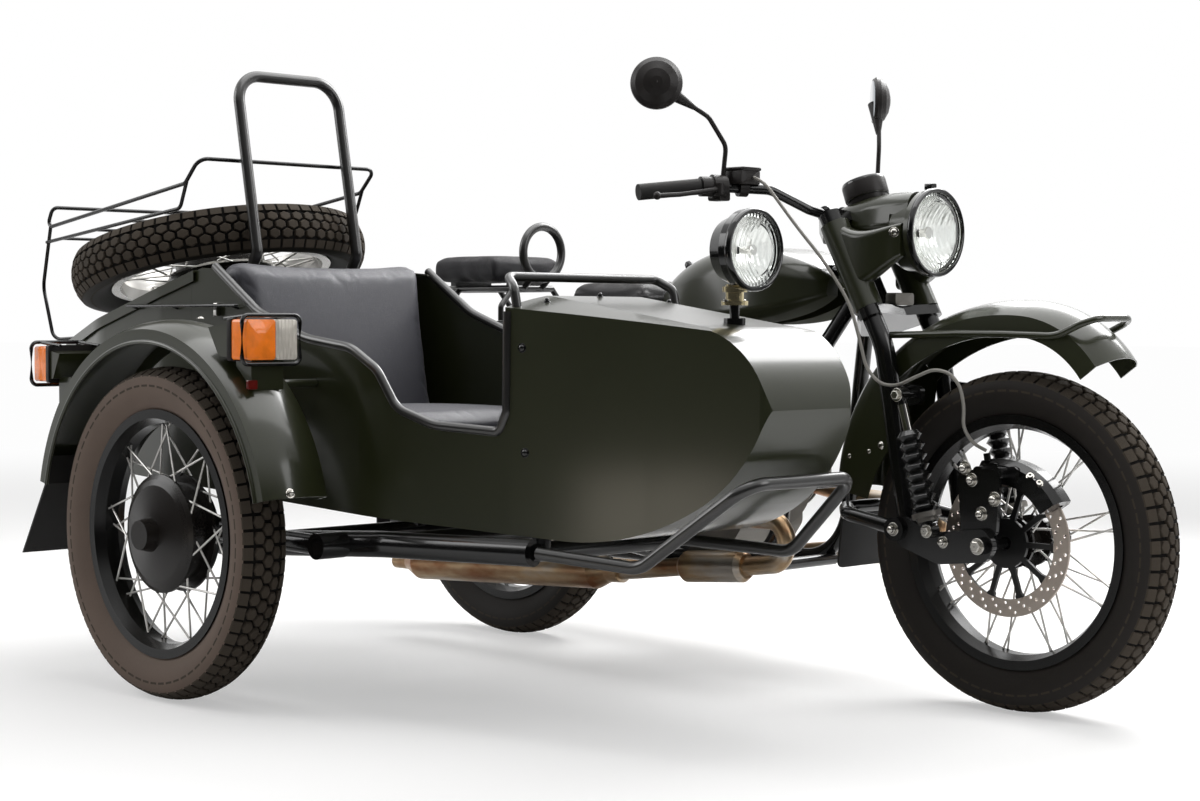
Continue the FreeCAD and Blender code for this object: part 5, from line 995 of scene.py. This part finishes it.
def bulb(middle, size, depth):
    """A glass capsule on the dish's axis with a round shade before it."""
    back = -depth * 0.86
    glass = [(0.1, back), (size * 0.8, back), (size, back + 6), (size, back + 18),
             (size * 0.7, back + 25), (0.1, back + 27)]
    shade_cap = [(0.1, back + 31), (size * 1.4, back + 30), (size * 1.5, back + 25),
                 (size * 1.3, back + 25), (0.1, back + 30)]
    return [spun(glass, middle, AHEAD, 32), spun(shade_cap, middle, AHEAD, 32)]


def lamp_ring(middle, radius, width):
    """The rolled bead round a lamp's mouth."""
    inner = radius - width
    section = [(inner, 9), (inner + 0.5, 12), (inner + 2, 13), (radius - 2, 13), (radius - 0.3, 11),
               (radius + 0.6, 7), (radius + 0.6, 2), (radius - 0.4, 0.5), (inner, 0.5), (inner, 9)]
    return spun(section, middle, AHEAD, 96)


for name, body, middle, rim, depth, front, ring_r, ring_w, bulb_r in LAMPS:
    piece(f"{name}_dish", [dish(middle, rim, depth, front)], body, DISH, seal=False)
    piece(f"{name}_bulb", bulb(middle, bulb_r, depth), body, CHROME)
    piece(f"{name}_ring", [lamp_ring(middle, ring_r, ring_w)], body, BLACK_GLOSS)

# %% [markdown]
# Signal lamps. Each is an olive housing with a moulded lens, amber outside and clear inside, in
# a black surround and behind a bent wire guard. Lens and surround are shells laid on the housing.

# %% Signal lamps


def rounded(corners, radius, steps):
    """A rectangle's outline in (y, z) from its low and high corners, each corner a quarter circle."""
    (y0, z0), (y1, z1) = corners
    outline = []
    for k, (y, z) in enumerate(((y1 - radius, z1 - radius), (y0 + radius, z1 - radius),
                                (y0 + radius, z0 + radius), (y1 - radius, z0 + radius))):
        turn = np.linspace(0, math.pi / 2, steps) + k * math.pi / 2
        outline.append(np.stack([y + radius * np.cos(turn), z + radius * np.sin(turn)], 1))
    return np.concatenate(outline)


def at_x(x, line):
    """A line of (y, z) stood across the machine at one x."""
    return np.concatenate([np.full((len(line), 1), x), line], 1)


def slab(corners, depth, radius=6.0):
    """A rounded rectangle carried along x, its far face softened in three small steps."""
    outline = rounded(corners, radius, 5)
    middle = outline.mean(0)
    x0, x1 = depth
    way = 1.0 if x1 > x0 else -1.0
    steps = ((x0, 0.0), (x0, 1.0), (x1 - 2.5 * way, 1.0), (x1 - 0.7 * way, 0.985), (x1, 0.95), (x1, 0.0))
    return net(np.stack([at_x(x, middle + (outline - middle) * size) for x, size in steps]), wrap_v=True)


LENS_OUT, LENS_IN, LENS_SPLIT = -1219.5, -1100.5, -1152.0
SIGNALS = (     # (name, face x, way, low z, high z)
    ("front_signal", 566.0, 1.0, 704.5, 783.5),
    ("rear_signal", -214.0, -1.0, 646.5, 723.5),
)
for name, face, way, z0, z1 in SIGNALS:
    back = face - way * 44.0
    amber = slab(((LENS_OUT, z0), (LENS_SPLIT, z1)), (back, face + way * 7.0))
    clear = slab(((LENS_SPLIT + 0.6, z0), (LENS_IN, z1)), (back, face + way * 7.0))
    band = slab(((LENS_OUT - 2.5, z0 - 2.5), (LENS_IN + 2.5, z1 + 2.5)), (back - way * 13.0, back), 5.0)
    guard_x = face + way * 3.0
    loop = at_x(guard_x, rounded(((LENS_OUT - 9, z0 - 8), (LENS_IN + 9, z1 + 8)), 14.0, 8))
    stays = [tube([[guard_x, y, z1 + 8], [back - way * 40.0, y, z1 + 1]], 3.6)
             for y in (LENS_OUT + 12, LENS_IN - 12)]
    piece(f"{name}_amber", [amber], "chassis", AMBER)
    piece(f"{name}_clear", [clear], "chassis", CLEAR if way > 0 else RED)
    piece(f"{name}_surround", [band], "chassis", PLASTIC)
    piece(f"{name}_guard", [tube(loop, 4.2, closed=True)] + stays, "chassis", BLACK)

# %% [markdown]
# Mirrors and the instrument. Glass here is a thin silvered disc set in the shell. The dial carries
# plain tick marks only, each a sliver of mesh, so that no picture file is needed.

# %% Mirrors and dial
MIRRORS = (((908.0, -440.0, 1270.0), (1, -1, 0)), ((900.0, 294.0, 1288.0), (1, 1, 0)))
GLASS_SECTION = [(0.1, -9.4), (45.0, -9.4), (46.5, -8.6), (46.5, -8.1), (0.1, -8.1)]
piece("mirror_glasses", [spun(GLASS_SECTION, head, way, 64) for head, way in MIRRORS], "steering",
      MIRROR)

DIAL_TILT = math.radians(20.0)
DIAL_UP = np.array([-math.sin(DIAL_TILT), 0.0, math.cos(DIAL_TILT)])
DIAL_FOOT = np.array([1114.0, 0.0, 1034.0])
DIAL_AT = DIAL_FOOT + DIAL_UP * 46.0


def dial_ticks():
    """Slivers at equal turns round the dial, every fifth one longer."""
    first, second = across(DIAL_UP)
    parts = []
    for k in range(41):
        angle = math.radians(-210 + 6 * k)
        out = math.cos(angle) * second + math.sin(angle) * first
        side = np.cross(DIAL_UP, out)
        inner = 28.0 if k % 5 == 0 else 31.5
        ends = [(out * reach - side * 0.5, out * reach + side * 0.5) for reach in (inner, 35.0)]
        parts.append(net(DIAL_AT + DIAL_UP * 0.9 + np.array(ends)))
    return parts


piece("dial_face", [spun([(0.1, 0.6), (38.0, 0.6), (38.0, 0.1), (0.1, 0.1)], DIAL_AT, DIAL_UP, 64)],
      "steering", PLASTIC)
piece("dial_ticks", dial_ticks(), "steering", DIAL, seal=False)
piece("dial_bezel", [spun([(38.0, 0.0), (38.6, 4.0), (41.0, 6.0), (45.0, 5.0), (47.2, 1.0), (47.2, -9.0),
                           (45.8, -9.0), (38.0, 0.0)], DIAL_AT, DIAL_UP, 72)],
      "steering", BLACK_GLOSS)

# %% [markdown]
# Fasteners. A bolt's head catches light from its chamfer and dome, so even a small one needs its
# true form. One table gives every head its place, direction, size and kind, and one loop turns it.

# %% Fasteners
HEADS = {
    "hex": ([(0.1, 0.72), (0.80, 0.72), (0.98, 0.58), (1.0, 0.12), (1.0, 0.0)], 6),
    "acorn": ([(0.1, 1.5), (0.35, 1.44), (0.62, 1.22), (0.76, 0.9), (0.78, 0.62), (0.98, 0.55),
               (1.0, 0.0)], 24),
    "dome": ([(0.1, 0.55), (0.4, 0.52), (0.75, 0.38), (0.95, 0.16), (1.0, 0.0)], 24),
    "socket": ([(0.1, 0.2), (0.5, 0.2), (0.52, 0.75), (0.9, 0.75), (1.0, 0.62), (1.0, 0.0)], 24),
}
WASHER = [(1.0, 0.0), (1.38, 0.0), (1.38, 0.14), (1.3, 0.2), (0.9, 0.2)]
RIGHT, LEFT, UP = (0, -1, 0), (0, 1, 0), (0, 0, 1)
SIDE_PANEL = (0.22, -0.976, 0.0)


def pair(x, y, z, radius, kind):
    """Two rows of the table below, one on each side of the machine's middle."""
    return (x, -y, z, RIGHT, radius, kind), (x, y, z, LEFT, radius, kind)


BOLTS = (   # (name, body, finish, rows of x, y, z, way, radius and kind)
    ("steering_bolts", "steering", BOLT, (
        (1459, -123.7, 494, RIGHT, 10.5, "acorn"), (1476, -123.7, 471, RIGHT, 10, "acorn"),
        (1531, -123.7, 436, RIGHT, 10.5, "acorn"), (1500, -123.7, 405, RIGHT, 10.5, "acorn"),
        (1418, -138.0, 344, RIGHT, 9, "acorn"), (1212, -73.6, 526, RIGHT, 9, "dome"),
        (1180, -73.6, 512, RIGHT, 6, "dome"), (1128, -73.6, 500, RIGHT, 6, "dome"),
        (1588, -87.5, 482, (0.36, -0.65, 0.67), 6, "socket"),
        (1608, -86.6, 469, (0.47, -0.65, 0.6), 6, "socket"),
        *pair(1300, 147.0, 362, 10, "acorn"), *pair(1318, 162.6, 636, 10, "hex"),
        *pair(1395, 162.6, 366, 10, "hex"), *pair(1510, 151.0, 343, 12, "hex"),
        (1257, -98.3, 967, (0.47, -0.88, 0.0), 7.5, "dome"),
        (1257, 98.3, 967, (0.47, 0.88, 0.0), 7.5, "dome"),
    )),
    ("chassis_bolts", "chassis", BOLT, (
        (661, -1183.6, 452, (0.96, -0.14, 0.24), 7, "acorn"), (300, -1140.0, 784, UP, 6, "dome"),
        (1364, BODY_Y + 24, 818, UP, 5, "hex"), (1364, BODY_Y - 24, 818, UP, 5, "hex"),
    )),
    ("panel_fittings", "chassis", BLACK_GLOSS, (
        (1037.7, -930.9, 732, SIDE_PANEL, 6.5, "dome"), (1044.9, -929.3, 537, SIDE_PANEL, 6.5, "dome"),
        (1041, -870.7, 817.7, (0.14, -0.2, 0.97), 5, "acorn"),
        (1012, -702.6, 829, (0.14, 0.0, 0.99), 5, "acorn"),
        (1041, -540.0, 817.7, (0.14, 0.2, 0.97), 5, "acorn"),
    )),
)
for name, body, coat, rows in BOLTS:
    parts = []
    for x, y, z, way, radius, kind in rows:
        profile, sides = HEADS[kind]
        seat = np.array([x, y, z], float)
        parts.append(spun(np.array(profile) * radius, seat + unit(way) * 0.2 * radius, way, sides))
        parts.append(spun(np.array(WASHER) * radius, seat, way, 28))
    piece(name, parts, body, coat, smooth=28.0, seal=False)

# %% [markdown]
# The front mudguard's tail. Behind the fork the guard runs on down to the leading arm's loop, and
# tightens as it goes. A sheet this thin is one grid of points with a copy of it set inwards.

# %% Mudguard tail
SHEET = 3.0
TAIL_FROM, TAIL_SWEEP = -40.3, 38.0
CROWN_FROM, CROWN_LOSS = 485.0, 47.0
GUARD_HALF = 73.6
FRONT_AXLE = np.array(AXLES["front"])


def sheeted(grid, thick):
    """A grid and its copy moved by thick along the cross product of its two slopes, joined at the rim."""
    slopes = np.gradient(grid, axis=0), np.gradient(grid, axis=1)
    inner = grid - thick * unit(np.cross(*slopes))
    rows, columns = grid.shape[:2]
    ring = [(0, j) for j in range(columns)] + [(i, columns - 1) for i in range(1, rows)]
    ring += [(rows - 1, j) for j in range(columns - 2, -1, -1)] + [(i, 0) for i in range(rows - 2, 0, -1)]
    rim = np.stack([[grid[k] for k in ring], [inner[k] for k in ring]])
    return [net(grid), net(inner), net(rim, wrap_v=True)]


def guard_tail():
    """Rows down the wheel's rear: crown radius falls from 485 to 438 mm while the sides grow deeper."""
    rows = []
    for t in np.linspace(0, 1, 24):
        angle = math.radians(TAIL_FROM - TAIL_SWEEP * t)
        crown = CROWN_FROM - CROWN_LOSS * t**1.2
        shoulder = crown - 30.0 + 6.0 * t
        foot = 413.0 - 96.0 * min(1.0, t * 2.2) * (1.0 - 0.25 * t)
        arc = np.linspace(-math.pi / 2, math.pi / 2, 17)
        side = np.linspace(foot, shoulder, 7)[:-1]
        out = np.concatenate([[-GUARD_HALF] * 6, GUARD_HALF * np.sin(arc), [GUARD_HALF] * 6])
        radius = np.concatenate([side, shoulder + (crown - shoulder) * np.cos(arc), side[::-1]])
        section = np.stack([radius * math.sin(angle), out, radius * math.cos(angle)], 1)
        rows.append(FRONT_AXLE + section)
    return sheeted(np.array(rows), SHEET)


piece("front_mudguard_tail", guard_tail(), "steering", OLIVE, smooth=50.0)

# %% [markdown]
# Small trim. Bright shafts show above the front springs, a brass stem carries the spot lamp, and
# rolled beads stiffen the guards' edges. The brake's fluid box and the switch boxes sit on the bar.

# %% Trim


def sleeve(start, end, radius, thick=1.0, sides=24):
    """A plain tube between two points: an outer wall and both end rings."""
    start, end = np.array(start, float), np.array(end, float)
    reach = np.linalg.norm(end - start)
    section = [(radius - thick, 0), (radius, 0), (radius, reach), (radius - thick, reach)]
    return spun(section, start, end - start, sides)


def block(low_at, high_at, bevel=3.0):
    """A slab from its low to its high corner."""
    (x0, y0, z0), (x1, y1, z1) = low_at, high_at
    return slab(((y0, z0), (y1, z1)), (x0, x1), bevel)


def bead(centre, radius, y, start, end, size):
    """A rolled edge: an arc about an axle at one distance across, angles from straight up."""
    angle = np.radians(np.linspace(start, end, 90))
    arc = np.stack([radius * np.sin(angle), 0 * angle + y, radius * np.cos(angle)], 1)
    return tube(np.array(centre) + arc, size, 10, up=(0.0, 1.0, 0.0))


SHOCK_TOP, SHOCK_FOOT = np.array([1318.0, 150.3, 636.0]), np.array([1395.0, 150.3, 366.0])
shafts, collars = [], []
for side in (-1.0, 1.0):
    flip = np.array([1.0, side, 1.0])
    top, foot = SHOCK_TOP * flip, SHOCK_FOOT * flip
    run = foot - top
    shafts.append(sleeve(top + run * 0.075, top + run * 0.268, 10.2))
    collars.append(sleeve(top + run * 0.868, top + run * 0.905, 30.0, 9.0))
    collars.append(sleeve(top + run * 0.905, top + run * 0.935, 21.5, 3.0))
piece("shock_shafts", shafts, "steering", CHROME)
piece("shock_collars", collars, "steering", CAST_GREY)

STEM = ((812, 850, 17.0, 6.0), (812, 820, 25.0, 12.0), (836, 846, 23.0, 10.0))
stem = [sleeve((1364, BODY_Y, foot), (1364, BODY_Y, head), radius, wall)
        for foot, head, radius, wall in STEM]
piece("spot_lamp_stem", stem, "chassis", BRASS)

piece("brake_fluid_box", [block((925, -250, 1071), (973, -190, 1101), 4.0),
                          block((923, -252, 1100), (975, -188, 1107), 4.0)],
      "steering", PLASTIC)
boxes = [block((905, y - 17, 1036), (938, y + 17, 1056), 5.0) for y in (-262, 262)]
clamps = [sleeve((932, side * 256, 1065), (919, side * 284, 1066), 25.0, 8.0) for side in (-1, 1)]
piece("switch_boxes", boxes + clamps, "steering", PLASTIC)
piece("horn", [block((1186, -32, 818), (1212, 32, 844), 6.0)], "steering", CAST_GREY)
SHELL_SECTION = [(40.5, 1), (41.0, 2), (41.0, 12), (47.0, 13), (47.6, 16), (47.6, 42), (46.8, 47),
                 (46.0, 47), (40.5, 1)]
piece("instrument_shell", [spun(SHELL_SECTION, DIAL_FOOT, DIAL_UP, 72)], "steering", PLASTIC)
CAP_SECTION = [(0.1, 44), (7, 43), (10, 38), (10, 30), (6, 26), (6, 14), (22, 13), (27, 10), (29, 4),
               (29, -8)]
piece("tank_cap", [spun(CAP_SECTION, (606.0, 0.0, 880.0), (-0.42, 0.0, 0.91), 48)], "chassis",
      BLACK_GLOSS)
piece("sidecar_guard_bead", [bead((238.0, 0.0, 345.0), 392.0, -1235.5, -78.0, 77.0, 4.5)], "chassis",
      OLIVE)

LEDGE = ((-165, -1016, 812), (-165, -1021, 812), (250, -1021, 812), (250, -1016, 812))
stays = [sleeve((x, -1021, 812), (x, -1002.5, 806), 2.6) for x in (-150, 10, 235)]
piece("side_ledge_rail", [tube(LEDGE, 3.2)] + stays, "chassis", BLACK)
CATCHES = (     # (name, low corner, high corner, edge radius, body, finish, slot)
    ("lamp_ring_catch", (1266, -9, 1055), (1284, 9, 1070), 3.0, "steering", BLACK_GLOSS, "black_gloss"),
    ("lid_latch", (158, -1012, 790), (170, -1001.5, 818), 2.0, "chassis", CHROME, "disc_steel"),
    ("signal_reflector", (558, -1211, 648), (566, -1190, 666), 2.0, "chassis", RED, "lens"),
)
for name, low_at, high_at, bevel, body, coat, slot in CATCHES:
    piece(name, [block(low_at, high_at, bevel)], body, coat)
